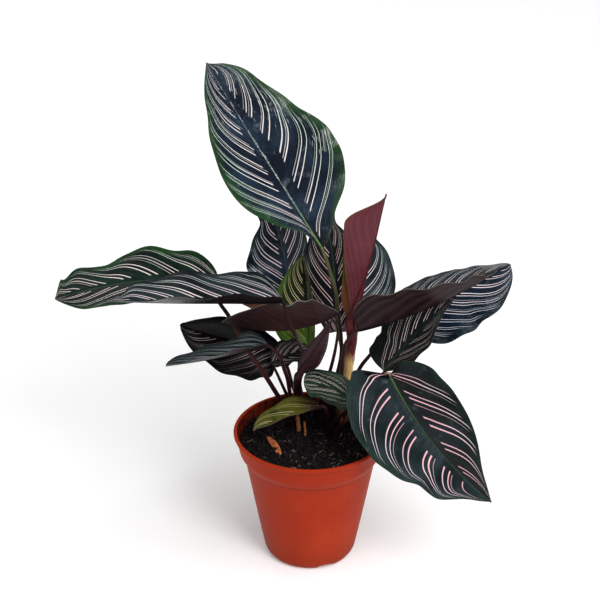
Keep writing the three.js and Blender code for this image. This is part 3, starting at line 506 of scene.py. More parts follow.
def make_blade(name, leaf, material):
    """The blade as a closed sheet, thinner towards the margin and grooved at the midrib.

    Attributes: top is 1 on the upper face and 0 on the lower one, reach is the distance in mm from
    the midrib and edge the distance in mm from the margin.
    """
    t, u = blade_grid(*BLADE_GRID)
    middle, half = blade_surface(leaf, t, u)
    normal = unit(np.cross(np.gradient(middle, axis=1), np.gradient(middle, axis=0)))
    for _ in range(NORMAL_SMOOTHINGS):
        normal[:, 1:-1] = unit(normal[:, :-2] + 2 * normal[:, 1:-1] + normal[:, 2:])
    v = np.abs(u)
    thick = HALF_THICKNESS * (1 - MARGIN_THINNING * v**6)
    groove = GROOVE_DEPTH * np.exp(-((v * half / GROOVE_WIDTH) ** 2))
    groove = groove * np.clip(half / GROOVE_FROM_HALF, 0, 1)
    points, faces = closed_sheet(middle + normal * (thick - groove)[..., None],
                                 middle - normal * thick[..., None])
    room = np.array(cad_box) / MM
    points = np.clip(points, room[0] + ROOM_IN_BOX, room[1] - ROOM_IN_BOX)
    uv = np.stack([(u * 0.5 + 0.5).ravel(), t.ravel()], -1)
    values = {"top": np.repeat([1.0, 0.0], t.size), "reach": np.tile((v * half).ravel(), 2),
              "edge": np.tile(((1 - v) * half).ravel(), 2)}
    return new_piece(name + "_blade", points, faces, material, name,
                     np.concatenate([uv, uv]), values, smooth=60)


print("a blade has", 2 * BLADE_GRID[0] * BLADE_GRID[1], "points")

# %% [markdown]
# ## Stalk surface
#
# The stalk of a leaf is a round rod, thicker at its foot. It goes on as a rib under the blade and
# fades out before the tip. A curve object with a bevel could give it, but only with one section; a
# limb of rings along a smooth curve can change its thickness from ring to ring, and its rings keep
# their turn, so the streaks along it don't twist.


# %% Limb along a smooth curve
def smooth_curve(points, count):
    """Catmull-Rom points and unit directions through the given points, and their numbers."""
    points = np.array(points, float)
    last = len(points) - 1
    x = np.linspace(0, last, count)
    i = np.clip(x.astype(int), 0, last - 1)
    f = (x - i)[:, None]
    ghost = np.concatenate([[2 * points[0] - points[1]], points, [2 * points[-1] - points[-2]]])
    a, b, c, d = ghost[i], ghost[i + 1], ghost[i + 2], ghost[i + 3]
    place = 0.5 * (2 * b + (c - a) * f + (2 * a - 5 * b + 4 * c - d) * f**2
                   + (3 * b - a - 3 * c + d) * f**3)
    way = 0.5 * ((c - a) + 2 * (2 * a - 5 * b + 4 * c - d) * f + 3 * (3 * b - a - 3 * c + d) * f**2)
    return place, unit(way), x


def limb(points, radii, upward, count, sides):
    """Closed limb: ring k is centre + r (cos g, sin g) across the curve.

    Returns points, faces and each point's share of the way from the first end to the last.
    """
    centre, way, x = smooth_curve(points, count)
    radius = np.interp(x, np.arange(len(radii)), radii)
    across = np.array(upward, float)
    carried = []
    for d in way:
        across = unit(across - d * across.dot(d))
        carried.append(across)
    across = np.array(carried)
    other = np.cross(way, across)
    angle = 2 * np.pi * np.arange(sides) / sides
    rings = (centre[:, None] + across[:, None] * (radius[:, None] * np.cos(angle))[..., None]
             + other[:, None] * (radius[:, None] * np.sin(angle))[..., None])
    points, faces = closed_tube(rings, centre[0], centre[-1])
    return points, faces, np.concatenate([np.repeat(x / x[-1], sides), [0, 1]])


print("a test limb of 2 rings has", len(limb([(0, 0, 0), (0, 0, 1)], [1, 1], (1, 0, 0), 2, 6)[1]),
      "faces")

# %% Stalk with its rib
SOIL_TOP = 101.6
NECK = 2.5
ROOT_DEPTH = 10
RIB_PLACES = (0.9, 0.75, 0.6, 0.46, 0.34, 0.23, 0.14, 0.08, 0.03, 0.0)
RIB_GAP = 0.02
RIB_TIP_RADIUS = 0.22
RIB_MIDDLE, RIB_MIDDLE_RADIUS = 0.34, 0.45
THICK_STALK, THICK_STALK_MORE = 2, 0.25
STALK_RINGS = 130
STALK_SIDES = 12


def foot_points(root):
    """The two points that lead a stalk straight down into the soil."""
    return [(*root, SOIL_TOP + NECK), (*root, SOIL_TOP - ROOT_DEPTH)]


def make_stalk(name, leaf, material):
    """The rib under the blade and the stalk down to 10 mm under the soil's surface.

    Attribute down is 0 where the blade starts, 1 at the foot and below 0 along the rib.
    """
    t = np.array(RIB_PLACES)
    point, along, upper0 = midrib(leaf, t)
    upper = np.cross(unit(np.cross(along, upper0)), along)
    thin, wide = leaf["radius"]
    middle = RIB_MIDDLE_RADIUS + THICK_STALK_MORE * (thin > THICK_STALK)
    radius = np.interp(t, [0, RIB_MIDDLE, t[0]], [thin, middle, RIB_TIP_RADIUS])
    ridge = point - upper * (RIB_GAP + radius)[:, None]
    rest = [*leaf["stalk"], *foot_points(leaf["root"])]
    down = thin + (wide - thin) * np.arange(1, len(rest) + 1) / len(rest)
    points, faces, where = limb([*ridge, *rest], [*radius, *down], upper0, STALK_RINGS, STALK_SIDES)
    share = (len(t) - 1) / (len(t) - 1 + len(rest))
    return new_piece(name + "_stalk", points, faces, material, name,
                     np.stack([np.zeros(len(where)), where], -1),
                     {"down": np.clip((where - share) / (1 - share), -1, 1)}, smooth=60)


print("a stalk has", STALK_RINGS * STALK_SIDES, "points")

# %% [markdown]
# ## Node helpers
#
# All patterns are node trees that work out a colour at each place. An image could hold them, but it
# would blur in close views. Nodes can be added in the editor; in a script, a small class with one
# short method for each kind of node keeps the formulas readable. An effect that several materials
# use is a node group: it is built once, and each material places it with its own values.


# %% Nodes of one tree
class Nodes:
    """Adds nodes to one node tree and links them."""

    def __init__(self, tree):
        self.tree = tree

    def add(self, kind, **settings):
        node = self.tree.nodes.new(kind)
        for key, value in settings.items():
            setattr(node, key, value)
        return node

    def put(self, socket, value):
        """Links an output to the socket, or sets a constant on it."""
        if hasattr(value, "is_output"):
            self.tree.links.new(value, socket)
        else:
            socket.default_value = value

    def fill(self, node, values):
        """Links or sets the node's named inputs and returns its outputs."""
        for key, value in values.items():
            self.put(node.inputs[key], value)
        return node.outputs

    def group(self, group, values):
        """Places a node group with its own values and returns its outputs."""
        return self.fill(self.add("ShaderNodeGroup", node_tree=group.tree), values)

    def math(self, operation, a, b=0.0, c=0.0):
        node = self.add("ShaderNodeMath", operation=operation)
        for socket, value in zip(node.inputs, (a, b, c)):
            self.put(socket, value)
        return node.outputs[0]

    def between(self, x, low, high, out_low=0.0, out_high=1.0):
        """Smooth step of x from low to high."""
        node = self.add("ShaderNodeMapRange", interpolation_type="SMOOTHSTEP")
        return self.fill(node, {"Value": x, "From Min": low, "From Max": high, "To Min": out_low,
                                "To Max": out_high})["Result"]

    def mix(self, share, a, b, blend="MIX"):
        node = self.add("ShaderNodeMix", data_type="RGBA", blend_type=blend)
        return self.fill(node, {"Factor": share, "A": a, "B": b})["Result"]

    def combine(self, x, y, z):
        return self.fill(self.add("ShaderNodeCombineXYZ"), {"X": x, "Y": y, "Z": z})[0]

    def split(self, place):
        return self.fill(self.add("ShaderNodeSeparateXYZ"), {"Vector": place})

    def noise(self, place, scale, detail=2.0, roughness=0.5):
        return self.fill(self.add("ShaderNodeTexNoise"), {
            "Vector": place, "Scale": scale, "Detail": detail, "Roughness": roughness})["Fac"]

    def draw(self, place):
        """A random number between 0 and 1 for each different place."""
        node = self.add("ShaderNodeTexWhiteNoise", noise_dimensions="3D")
        return self.fill(node, {"Vector": place})["Value"]


print("node helper", Nodes.__name__)


# %% Node groups and materials
class Group(Nodes):
    """A node group with named inputs and outputs, built once and placed in materials.

    Both are given as kind and names, as in dict(Float="Along, Across", Color="Rib").
    """

    def __init__(self, name, inputs, outputs):
        super().__init__(bpy.data.node_groups.new(name, "ShaderNodeTree"))
        for way, kinds in (("INPUT", inputs), ("OUTPUT", outputs)):
            for kind, names in kinds.items():
                for socket in names.split(", "):
                    self.tree.interface.new_socket(
                        name=socket, in_out=way, socket_type="NodeSocket" + kind)
        self.inputs = self.add("NodeGroupInput").outputs
        self.outputs = self.add("NodeGroupOutput").inputs

    def __getitem__(self, name):
        return self.inputs[name]

    def give(self, name, value):
        self.put(self.outputs[name], value)


class Material(Nodes):
    """A material with one Principled shader."""

    def __init__(self, name, specular=0.5):
        self.material = bpy.data.materials.new(name)
        self.material.use_nodes = True
        super().__init__(self.material.node_tree)
        self.shader = self.tree.nodes["Principled BSDF"]
        self.shader.inputs["Specular IOR Level"].default_value = specular

    def object_place(self):
        return self.add("ShaderNodeTexCoord").outputs["Object"]

    def attribute(self, name):
        return self.add("ShaderNodeAttribute", attribute_name=name).outputs["Fac"]

    def bump(self, height, distance, strength):
        bump = self.fill(self.add("ShaderNodeBump"), {
            "Height": height, "Distance": distance, "Strength": strength})
        self.put(self.shader.inputs["Normal"], bump["Normal"])

    def finish(self, colour, roughness):
        self.put(self.shader.inputs["Base Color"], colour)
        self.put(self.shader.inputs["Roughness"], roughness)
        return self.material


print("helpers for a group and a material")

# %% [markdown]
# ## Mottle
#
# Hardly any real surface has one colour: soil has grey grains, plastic has scuffs, bark and roots
# have darker fibres, and old leaves have rubbed crests, which here also stand for a painted
# highlight. All of these are spots of one colour on another. The nodes could be repeated in every
# material, but they are the same each time, so they are one group: noise between two limits gives
# the share of the spots, and the noise itself goes out as well, for relief, roughness or dust that
# should follow it.


# %% Group for spots of one colour on another
def mottle_group():
    """Colour = base mixed with spots where the noise lies between the limits, times share."""
    g = Group("mottle", dict(Float="Scale, Detail, Roughness, From, To, Share", Vector="Position",
                             Color="Base, Spots"), dict(Color="Colour", Float="Noise"))
    noise = g.noise(g["Position"], g["Scale"], g["Detail"], g["Roughness"])
    g.give("Colour", g.mix(g.between(noise, g["From"], g["To"], 0.0, g["Share"]), g["Base"],
                           g["Spots"]))
    g.give("Noise", noise)
    return g


MOTTLE = mottle_group()


def mottled(n, position, noise, limits, share, base, spots):
    """Places the group; noise is scale, detail and roughness."""
    scale, detail, roughness = noise
    return n.group(MOTTLE, {
        "Scale": scale, "Detail": detail, "Roughness": roughness, "From": limits[0],
        "To": limits[1], "Share": share, "Position": position, "Base": base, "Spots": spots})


print("group", MOTTLE.tree.name, "with", len(MOTTLE.tree.nodes), "nodes")

# %% [markdown]
# ## The leaves' looks
#
# Calathea leaves of one plant look alike but never the same: the young ones are yellow-green, the
# old ones nearly black, and the thin pink stripes stand in pairs that run out from the midrib
# between the veins. Every leaf could have a painted texture. Instead one set of values describes
# the common leaf, and each leaf names only what differs.
#
# deep and pale are the two ground colours of the upper side, heel the colour next to the stalk as
# far as heel_to, and margin the colour along the margin with its share and where it begins. stripe
# and stripe_end are the colours of a stripe near the midrib and near the margin, rib and rib_base
# those of the midrib, under and under_vein those of the underside, and rim that of the edge with
# its width in mm. stalk_top, stalk_low and foot go down the stalk, and change is where the first
# turns to the second.
#
# pairs is the number of stripe pairs for a whole leaf length on the left and the right half, offset
# shifts them, and line is the half width of a stripe as a share of the distance between pairs.
# lines holds the place in the cell, the width, the strength and the share of cells of each stripe.
# start and end say where a stripe begins and ends between midrib (0) and margin (1), and first and
# last which vein numbers have stripes. show is 0 for a half without stripes. bands is the strength
# of the paler bands along the veins on the underside, worn the share of pale spots
# on the crests, which are partly rubbed and partly a painted highlight, quilt the depth of the
# small bulges between the veins, shine and rough set the gloss of the blade, and tone
# is a painted light and shade: it multiplies the ground colour of the left and the right half, so
# that one half looks lit and the other shaded. The colours are sRGB as read from the photo.

# %% The common look
LOOK = dict(pairs=(8, 8), offset=(0.0, 0.45), line=0.036, show=(1, 1), first=-0.4, last=0.95,
            lines=((0.34, 1.0, 1.0, 1.0), (0.62, 0.95, 1.0, 1.0), (0.84, 0.6, 0.6, 0.35)),
            start=(0.07, 0.09), end=(0.97, 0.97), deep=(9, 19, 22), pale=(22, 38, 42),
            stripe=(222, 196, 200), stripe_end=(186, 196, 184), margin=(24, 46, 28),
            margin_share=0.6, margin_from=0.8, rib=(58, 78, 62), rib_base=(80, 104, 60),
            under=(46, 20, 29), under_vein=(74, 42, 50), bands=0.3, rim=(70, 62, 60), rim_width=0.5,
            worn=0.0, quilt=0.5, stalk_top=(58, 34, 30), stalk_low=(44, 18, 24),
            change=(0.05, 0.75), foot=(40, 16, 22), heel=(0, 0, 0), heel_to=(0.0, 0.01), rough=0.3,
            shine=0.22, tone=(1, 1))
print("values of the common look", len(LOOK))

# %% Looks at the top and the back
LOOKS = {
    "leaf_top": dict(
        pairs=(10, 8), shine=0.5, rough=0.15, offset=(0.5, 0.3), first=-0.02, start=(0.09, 0.15),
        end=(1.02, 1.02),
        lines=((0.26, 1.0, 1.0, 1.0), (0.58, 1.0, 1.0, 1.0), (0.42, 0.7, 0.5, 0.7),
               (0.74, 0.6, 0.5, 0.5)),
        line=0.031, deep=(7, 16, 30), pale=(25, 42, 58), margin=(28, 62, 20), margin_share=0.85,
        margin_from=0.72, stripe=(236, 226, 224), stripe_end=(204, 226, 202), rib=(52, 72, 76),
        rib_base=(96, 132, 62), worn=0.35, quilt=1.0, stalk_top=(84, 84, 54),
        stalk_low=(58, 40, 32)),
    "leaf_back_left": dict(
        line=0.05, shine=0.4, rough=0.17, deep=(11, 20, 32), pale=(32, 48, 64), worn=0.3,
        stripe=(255, 236, 242), stripe_end=(240, 244, 250), rib=(60, 80, 96),
        rib_base=(70, 90, 100)),
    "leaf_back_middle": dict(
        line=0.038, deep=(5, 10, 15), pale=(14, 24, 32), margin=(22, 23, 22),
        stripe=(250, 218, 214), stripe_end=(214, 200, 188)),
    # Its ground is painted lighter than the other leaves: painted light on a leaf that the others
    # shade.
    "leaf_back_right": dict(
        line=0.04, deep=(26, 34, 38), pale=(58, 72, 78), margin=(42, 62, 52),
        stripe=(255, 244, 248), stripe_end=(240, 246, 248)),
    "leaf_red_upright": dict(
        under=(70, 24, 33), under_vein=(120, 52, 62), bands=0.2, pairs=(6, 6), rim=(88, 48, 32),
        rim_width=2.0, deep=(66, 72, 18), pale=(104, 100, 34), show=(0, 0), margin_share=0.0,
        heel=(84, 36, 24), heel_to=(0.18, 0.34), stalk_top=(80, 24, 32), stalk_low=(206, 170, 108),
        change=(0.3, 0.42), foot=(48, 18, 24)),
}
print("looks so far", len(LOOKS))

# %% Looks at the left
LOOKS |= {
    # Its left half is painted darker and its right half lighter: painted shade and painted light.
    "leaf_left_far": dict(
        pairs=(6, 6), line=0.034, first=-0.25, shine=0.1, tone=(0.8, 1.25), deep=(6, 18, 15),
        pale=(18, 39, 31), margin=(28, 70, 22), margin_share=0.7, margin_from=0.72,
        stripe=(242, 224, 218), stripe_end=(214, 220, 208), stalk_top=(60, 34, 32),
        stalk_low=(58, 26, 28)),
    "leaf_left_near": dict(
        pairs=(7, 7), line=0.045, deep=(6, 11, 14), pale=(34, 48, 52), margin=(18, 32, 29),
        stripe=(244, 228, 230), stripe_end=(206, 214, 212), under=(14, 7, 11),
        under_vein=(24, 15, 20), bands=0.1, rim=(40, 34, 34), quilt=0.8, shine=0.1,
        stalk_top=(36, 19, 19), stalk_low=(60, 44, 44), change=(0.34, 0.46)),
    "leaf_left_middle": dict(
        under=(42, 22, 24), under_vein=(60, 40, 40), rim=(128, 122, 118), rim_width=0.9,
        stripe=(150, 140, 140), stalk_top=(44, 26, 26)),
    # Its near-black ground is painted shade: the leaf lies in the shadow of the leaves above it.
    "leaf_left_dark": dict(
        pairs=(6, 6), line=0.03, show=(1, 0), deep=(6, 5, 8), pale=(18, 13, 16),
        margin=(14, 12, 14), stripe=(196, 180, 180), stripe_end=(120, 116, 112), rib=(40, 34, 34),
        rib_base=(44, 36, 34)),
    "leaf_left_small": dict(
        pairs=(6, 6), deep=(6, 15, 18), pale=(16, 33, 37), margin=(20, 38, 34),
        stripe=(180, 194, 196), stripe_end=(140, 160, 158), under=(22, 14, 18),
        under_vein=(40, 30, 34), stalk_top=(44, 20, 19), stalk_low=(44, 18, 22)),
}
print("looks so far", len(LOOKS))

# %% Looks at the front
LOOKS |= {
    "leaf_folded": dict(
        under=(42, 22, 26), under_vein=(70, 44, 50), rim=(50, 30, 34), stalk_top=(42, 20, 26),
        stalk_low=(40, 20, 24)),
    "leaf_front_small": dict(
        pairs=(2.2, 2.2), line=0.024, first=-3, start=(0.03, 0.03), deep=(8, 20, 15),
        pale=(22, 48, 32), margin=(20, 56, 36), margin_share=0.8, stripe=(250, 232, 224),
        stripe_end=(200, 206, 190), under=(60, 26, 34), rib=(18, 34, 24), rib_base=(18, 34, 24)),
    "leaf_front_green": dict(
        pairs=(3, 3), line=0.026, start=(0.05, 0.05), deep=(34, 48, 6), pale=(112, 110, 20),
        margin=(78, 72, 14), stripe=(226, 204, 160), stripe_end=(190, 170, 110), heel=(56, 26, 28),
        heel_to=(0.1, 0.3), under=(70, 36, 32), rib=(80, 84, 40), rib_base=(80, 90, 40),
        stalk_top=(60, 24, 32), stalk_low=(50, 20, 26)),
    # Its left half is painted darker and its right half lighter: painted shade and painted light.
    "leaf_front_right": dict(
        pairs=(5.3, 7), offset=(0.95, 0.92), start=(0.11, 0.12), end=(0.97, 0.96),
        lines=((0.36, 1.0, 1.0, 1.0), (0.64, 1.05, 1.0, 1.0), (0.84, 0.4, 0.7, 0.4)), first=-0.1,
        last=0.8, deep=(12, 20, 21), pale=(30, 39, 43), stripe=(230, 176, 184),
        stripe_end=(230, 212, 214), margin=(18, 46, 29), margin_share=0.7, shine=0.16, rough=0.2,
        tone=(0.6, 1.5), rib=(50, 68, 44), rib_base=(76, 104, 46), worn=0.2, quilt=0.3,
        stalk_top=(190, 160, 132), stalk_low=(58, 22, 30)),
}
print("looks so far", len(LOOKS))

# %% Looks at the right
LOOKS |= {
    "leaf_right_low": dict(
        pairs=(6, 6), line=0.03, first=-0.15, deep=(7, 12, 13), pale=(20, 26, 27),
        margin=(14, 24, 17), stripe=(240, 216, 216), stripe_end=(196, 186, 172), rib=(30, 42, 32),
        rib_base=(60, 76, 50)),
    "leaf_right_middle": dict(
        under=(17, 8, 12), under_vein=(56, 38, 40), bands=0.6, shine=0.1, pairs=(5, 5),
        rim=(104, 94, 92), rim_width=0.7),
    # Its left half is painted darker and its right half lighter: painted shade and painted light.
    "leaf_right_far": dict(
        pairs=(7, 7), line=0.034, rough=0.17, deep=(4, 11, 20), pale=(15, 30, 46), tone=(0.7, 1.2),
        margin=(16, 34, 30), stripe=(244, 228, 232), stripe_end=(214, 222, 226), worn=0.3,
        quilt=0.8),
}
print("looks so far", len(LOOKS))

# %% Looks of the small leaves between the others
LOOKS |= {
    "leaf_young": dict(
        line=0.045, first=-1.2, deep=(12, 20, 12), pale=(32, 46, 24), margin=(60, 88, 34),
        margin_share=0.8, margin_from=0.7, stripe=(226, 206, 160), stripe_end=(196, 200, 120),
        heel=(92, 132, 34), heel_to=(0.42, 0.56), under=(80, 60, 40)),
    # Its near-black ground is painted shade: the leaf lies in shadow behind the stalks.
    "leaf_inner_small": dict(
        pairs=(5, 5), line=0.034, deep=(5, 5, 6), pale=(16, 13, 14), margin=(16, 20, 13),
        stripe=(216, 196, 196), stripe_end=(170, 156, 146), rib=(20, 22, 20),
        rib_base=(22, 24, 18)),
    "leaf_inner_brown": dict(under=(104, 58, 30), under_vein=(132, 84, 50), rim=(90, 60, 40)),
}
print("looks so far", len(LOOKS))

# %% [markdown]
# ## Veins and stripes
#
# On the real leaf the side veins leave the midrib slanting and bend towards the tip, and every
# stripe lies between two veins. Stripes drawn as separate strips would float over the blade and
# miss its bends. As a mask worked out from the blade's own coordinates they lie in the surface: q
# is the number of the vein through a point, the cell of a stripe pair is floor(q * pairs), and the
# place in it is the fraction. A stripe is where the place is near its centre. White noise of the
# cell's number gives every stripe its own small change in place, width, start and end.

# %% Group for the vein number
WOBBLE = 0.006


def vein_number_group():
    """q = t - (slant v + turn v^4), with a slow wobble, and v = |u|."""
    g = Group("vein_number", dict(Float="Across, Along, Seed, Slant, Turn"), dict(Float="Vein"))
    v = g.math("ABSOLUTE", g["Across"])
    slow = g.noise(g.combine(g["Across"], g["Along"], g["Seed"]), 3.0, 0.0)
    wobble = g.math("MULTIPLY_ADD", slow, 2 * WOBBLE, -WOBBLE)
    bow = g.math("ADD", g.math("MULTIPLY", g.math("POWER", v, 4.0), g["Turn"]),
                 g.math("MULTIPLY", v, g["Slant"]))
    g.give("Vein", g.math("ADD", g.math("SUBTRACT", g["Along"], bow), wobble))
    return g


VEIN_NUMBER = vein_number_group()
print("group", VEIN_NUMBER.tree.name, "with", len(VEIN_NUMBER.tree.nodes), "nodes")

# %% Group for one stripe of each cell
END_SEED, SHOW_SEED = 50.0, 90.0
PLACE_CHANGE, START_CHANGE, END_CHANGE = 0.06, 0.07, -0.1
START_FADE, END_FADE = 0.02, 0.1
WIDTH_AT_MIDRIB, WIDTH_LOST = 1.05, 0.5
LEAST_WIDTH, WIDTH_CHANGE = 0.75, 0.5
FULL_TO, GONE_FROM = 0.65, 1.2


def stripe_group():
    """Mask of one stripe: blunt near the midrib, thinner to the margin, missing in some cells."""
    g = Group("leaf_stripe",
              dict(Float="Cell, Place in cell, From midrib, Right half, Seed, Centre, Width, "
                         "Strength, Share, Start, End"), dict(Float="Stripe"))
    v = g["From midrib"]
    seeds = (g.math("ADD", g["Seed"], more) for more in (0.0, END_SEED, SHOW_SEED))
    one, two, three = (g.draw(g.combine(g["Cell"], g["Right half"], seed)) for seed in seeds)
    shift = g.math("MULTIPLY_ADD", two, PLACE_CHANGE, -PLACE_CHANGE / 2)
    centre = g.math("ADD", g["Centre"], shift)
    off = g.math("ABSOLUTE", g.math("SUBTRACT", g["Place in cell"], centre))
    thin = g.math("MULTIPLY_ADD", v, -WIDTH_LOST, WIDTH_AT_MIDRIB)
    wide = g.math("MULTIPLY", g.math("MULTIPLY", thin, g["Width"]),
                  g.math("MULTIPLY_ADD", one, WIDTH_CHANGE, LEAST_WIDTH))
    line = g.between(off, g.math("MULTIPLY", wide, FULL_TO), g.math("MULTIPLY", wide, GONE_FROM),
                     1.0, 0.0)
    start = g.math("MULTIPLY_ADD", one, START_CHANGE, g["Start"])
    end = g.math("MULTIPLY_ADD", two, END_CHANGE, g["End"])
    line = g.math("MULTIPLY", line, g.between(v, start, g.math("ADD", start, START_FADE)))
    line = g.math("MULTIPLY", line,
                  g.between(v, g.math("SUBTRACT", end, END_FADE), end, 1.0, 0.0))
    line = g.math("MULTIPLY", line, g.math("LESS_THAN", three, g["Share"]))
    g.give("Stripe", g.math("MULTIPLY", line, g["Strength"]))
    return g


STRIPE = stripe_group()
print("group", STRIPE.tree.name, "with", len(STRIPE.tree.nodes), "nodes")

# %% [markdown]
# ## The blade's ground
#
# Between the stripes a real blade isn't one colour. It is cloudy, streaked along its veins, greener
# towards the margin, and pale grey on crests, partly rubbed and partly a painted highlight. Its
# tissue bulges between the fine veins, which breaks up its reflections. One noise texture would run
# straight through the blade; here the streaks and bulges are noise over vein number and distance
# from the midrib, so they follow the veins, and only the clouds are noise in space.

# %% Group for the grain of a leaf
FINE_VEINS = 60
CLOUD_SCALE = 40.0
GRAINS = (("Streak", 40.0, 2.5), ("Bulge", 26.0, 7.0))


def leaf_grain_group():
    """Streaks and bulges along the veins, sine-shaped fine veins, and clouds in space."""
    g = Group("leaf_grain", dict(Float="Vein, From midrib, Right half", Vector="Position"),
              dict(Float="Streak, Bulge, Fine veins, Cloud"))
    for name, across_veins, along_veins in GRAINS:
        g.give(name, g.noise(g.combine(g.math("MULTIPLY", g["Vein"], across_veins),
                                       g.math("MULTIPLY", g["From midrib"], along_veins),
                                       g["Right half"]), 1.0))
    g.give("Fine veins", g.math("SINE", g.math("MULTIPLY", g["Vein"], 2 * np.pi * FINE_VEINS)))
    g.give("Cloud", g.noise(g["Position"], CLOUD_SCALE, 3.0))
    return g


LEAF_GRAIN = leaf_grain_group()
print("group", LEAF_GRAIN.tree.name, "with", len(LEAF_GRAIN.tree.nodes), "nodes")

# %% Group for the ground colour
STREAK_PART, CLOUD_PART = 0.3, 0.8
DEEP_TO, PALE_FROM = 0.4, 0.75
HEEL_SHARE, HEEL_RAGGED = 0.9, 0.2
GREEN_FADE, GREEN_RAGGED = 0.3, 0.5
WEAR_AND_HIGHLIGHT, WEAR_AND_HIGHLIGHT_NOISE, WEAR_AND_HIGHLIGHT_LIMITS = (120, 128, 132), (90.0, 3.0, 0.6), (0.6, 0.78)


def blade_ground_group():
    """Deep to pale ground times the painted light and shade of each half, then heel, margin and
    pale crest spots, partly wear and partly a painted highlight, laid over it.
    """
    g = Group("blade_ground",
              dict(Float="Streak, Cloud, Along, From midrib, Tone, Heel full, Heel gone, "
                         "Margin from, Margin share, Worn",
                   Color="Deep, Pale, Heel, Margin", Vector="Position"), dict(Color="Ground"))
    cloud = g["Cloud"]
    blend = g.between(g.math("ADD", g.math("MULTIPLY", g["Streak"], STREAK_PART),
                             g.math("MULTIPLY", cloud, CLOUD_PART)), DEEP_TO, PALE_FROM)
    # Painted light and shade: the ground of each half is multiplied by its own factor.
    ground = g.mix(1.0, g.mix(blend, g["Deep"], g["Pale"]), g["Tone"], "MULTIPLY")
    ragged = g.math("MULTIPLY_ADD", cloud, HEEL_RAGGED, -HEEL_RAGGED / 2)
    heel = g.between(g.math("ADD", g["Along"], ragged), g["Heel full"], g["Heel gone"],
                     HEEL_SHARE, 0.0)
    ground = g.mix(heel, ground, g["Heel"])
    ragged = g.math("MULTIPLY_ADD", cloud, GREEN_RAGGED, -GREEN_RAGGED / 2)
    green = g.between(g.math("ADD", g["From midrib"], ragged), g["Margin from"],
                      g.math("ADD", g["Margin from"], GREEN_FADE), 0.0, g["Margin share"])
    ground = g.mix(green, ground, g["Margin"])
    # Pale grey spots on the crests: partly rubbed wear, partly a painted highlight.
    crest_spots = mottled(g, g["Position"], WEAR_AND_HIGHLIGHT_NOISE, WEAR_AND_HIGHLIGHT_LIMITS, g["Worn"], ground,
                     linear(WEAR_AND_HIGHLIGHT))
    g.give("Ground", crest_spots["Colour"])
    return g


BLADE_GROUND = blade_ground_group()
print("group", BLADE_GROUND.tree.name, "with", len(BLADE_GROUND.tree.nodes), "nodes")


# %% Group for stripes and midrib over the ground
STRIPE_SHARE, RIB_SHARE = 0.95, 0.85
PALER_FROM, PALER_TO = 0.3, 0.85
RIB_AT_TIP, RIB_MORE_AT_BASE = 0.3, 0.5
RIB_FULL_TO, RIB_GONE_FROM = 0.6, 1.3


def blade_lines_group():
    """Stripes that pale towards the margin, and a midrib that narrows with (1 - t)^3."""
    g = Group("blade_lines",
              dict(Float="Stripe, Along, From midrib, Reach",
                   Color="Ground, Stripe near, Stripe far, Rib, Rib base"),
              dict(Color="Upper side"))
    paler = g.between(g["From midrib"], PALER_FROM, PALER_TO)
    line = g.mix(paler, g["Stripe near"], g["Stripe far"])
    colour = g.mix(g.math("MULTIPLY", g["Stripe"], STRIPE_SHARE), g["Ground"], line)
    near_base = g.math("POWER", g.math("SUBTRACT", 1.0, g["Along"]), 3.0)
    ridge = g.math("MULTIPLY_ADD", near_base, RIB_MORE_AT_BASE, RIB_AT_TIP)
    rib = g.between(g["Reach"], g.math("MULTIPLY", ridge, RIB_FULL_TO),
                    g.math("MULTIPLY", ridge, RIB_GONE_FROM), RIB_SHARE, 0.0)
    g.give("Upper side", g.mix(rib, colour, g.mix(near_base, g["Rib"], g["Rib base"])))
    return g


BLADE_LINES = blade_lines_group()
print("group", BLADE_LINES.tree.name, "with", len(BLADE_LINES.tree.nodes), "nodes")

# %% [markdown]
# ## The underside and the relief
#
# The underside of a calathea leaf is wine red to nearly black, with fine paler veins, broad paler
# bands that show the stripes through, and a thin pale edge. It could be a second mesh, but the
# blade is one closed sheet already, and an attribute that is 1 on its upper face chooses the
# colour. The relief is bump only: the real bulges are a few tenths of a millimetre high.


# %% Group for the underside
VEIN_SHARE, CLOUD_SHARE, RIM_SHARE = 0.6, 0.35, 0.9
BAND_FULL_TO, BAND_GONE_FROM = 0.08, 0.34


def underside_group():
    """Fine veins, clouds and bands of the vein colour, and a rim along the edge."""
    g = Group("blade_underside",
              dict(Float="Streak, Fine veins, Cloud, Place in cell, Edge, Bands, Rim width",
                   Color="Under, Vein colour, Rim"), dict(Color="Underside"))
    thread = g.between(g.math("ADD", g["Fine veins"], g.math("MULTIPLY", g["Streak"], 1.4)),
                       0.7, 1.9, 0.0, VEIN_SHARE)
    cloudy = g.between(g["Cloud"], DEEP_TO, PALE_FROM, 0.0, CLOUD_SHARE)
    band = g.between(g.math("ABSOLUTE", g.math("SUBTRACT", g["Place in cell"], 0.5)),
                     BAND_FULL_TO, BAND_GONE_FROM, g["Bands"], 0.0)
    colour = g["Under"]
    for share in (thread, cloudy, band):
        colour = g.mix(share, colour, g["Vein colour"])
    rim = g.between(g["Edge"], g.math("MULTIPLY", g["Rim width"], 0.5),
                    g.math("MULTIPLY", g["Rim width"], 1.2), RIM_SHARE, 0.0)
    g.give("Underside", g.mix(rim, colour, g["Rim"]))
    return g


UNDERSIDE = underside_group()
print("group", UNDERSIDE.tree.name, "with", len(UNDERSIDE.tree.nodes), "nodes")

# %% Group for the relief
VEIN_RELIEF, BULGE_RELIEF, STREAK_RELIEF = 0.05, 2.0, 0.4


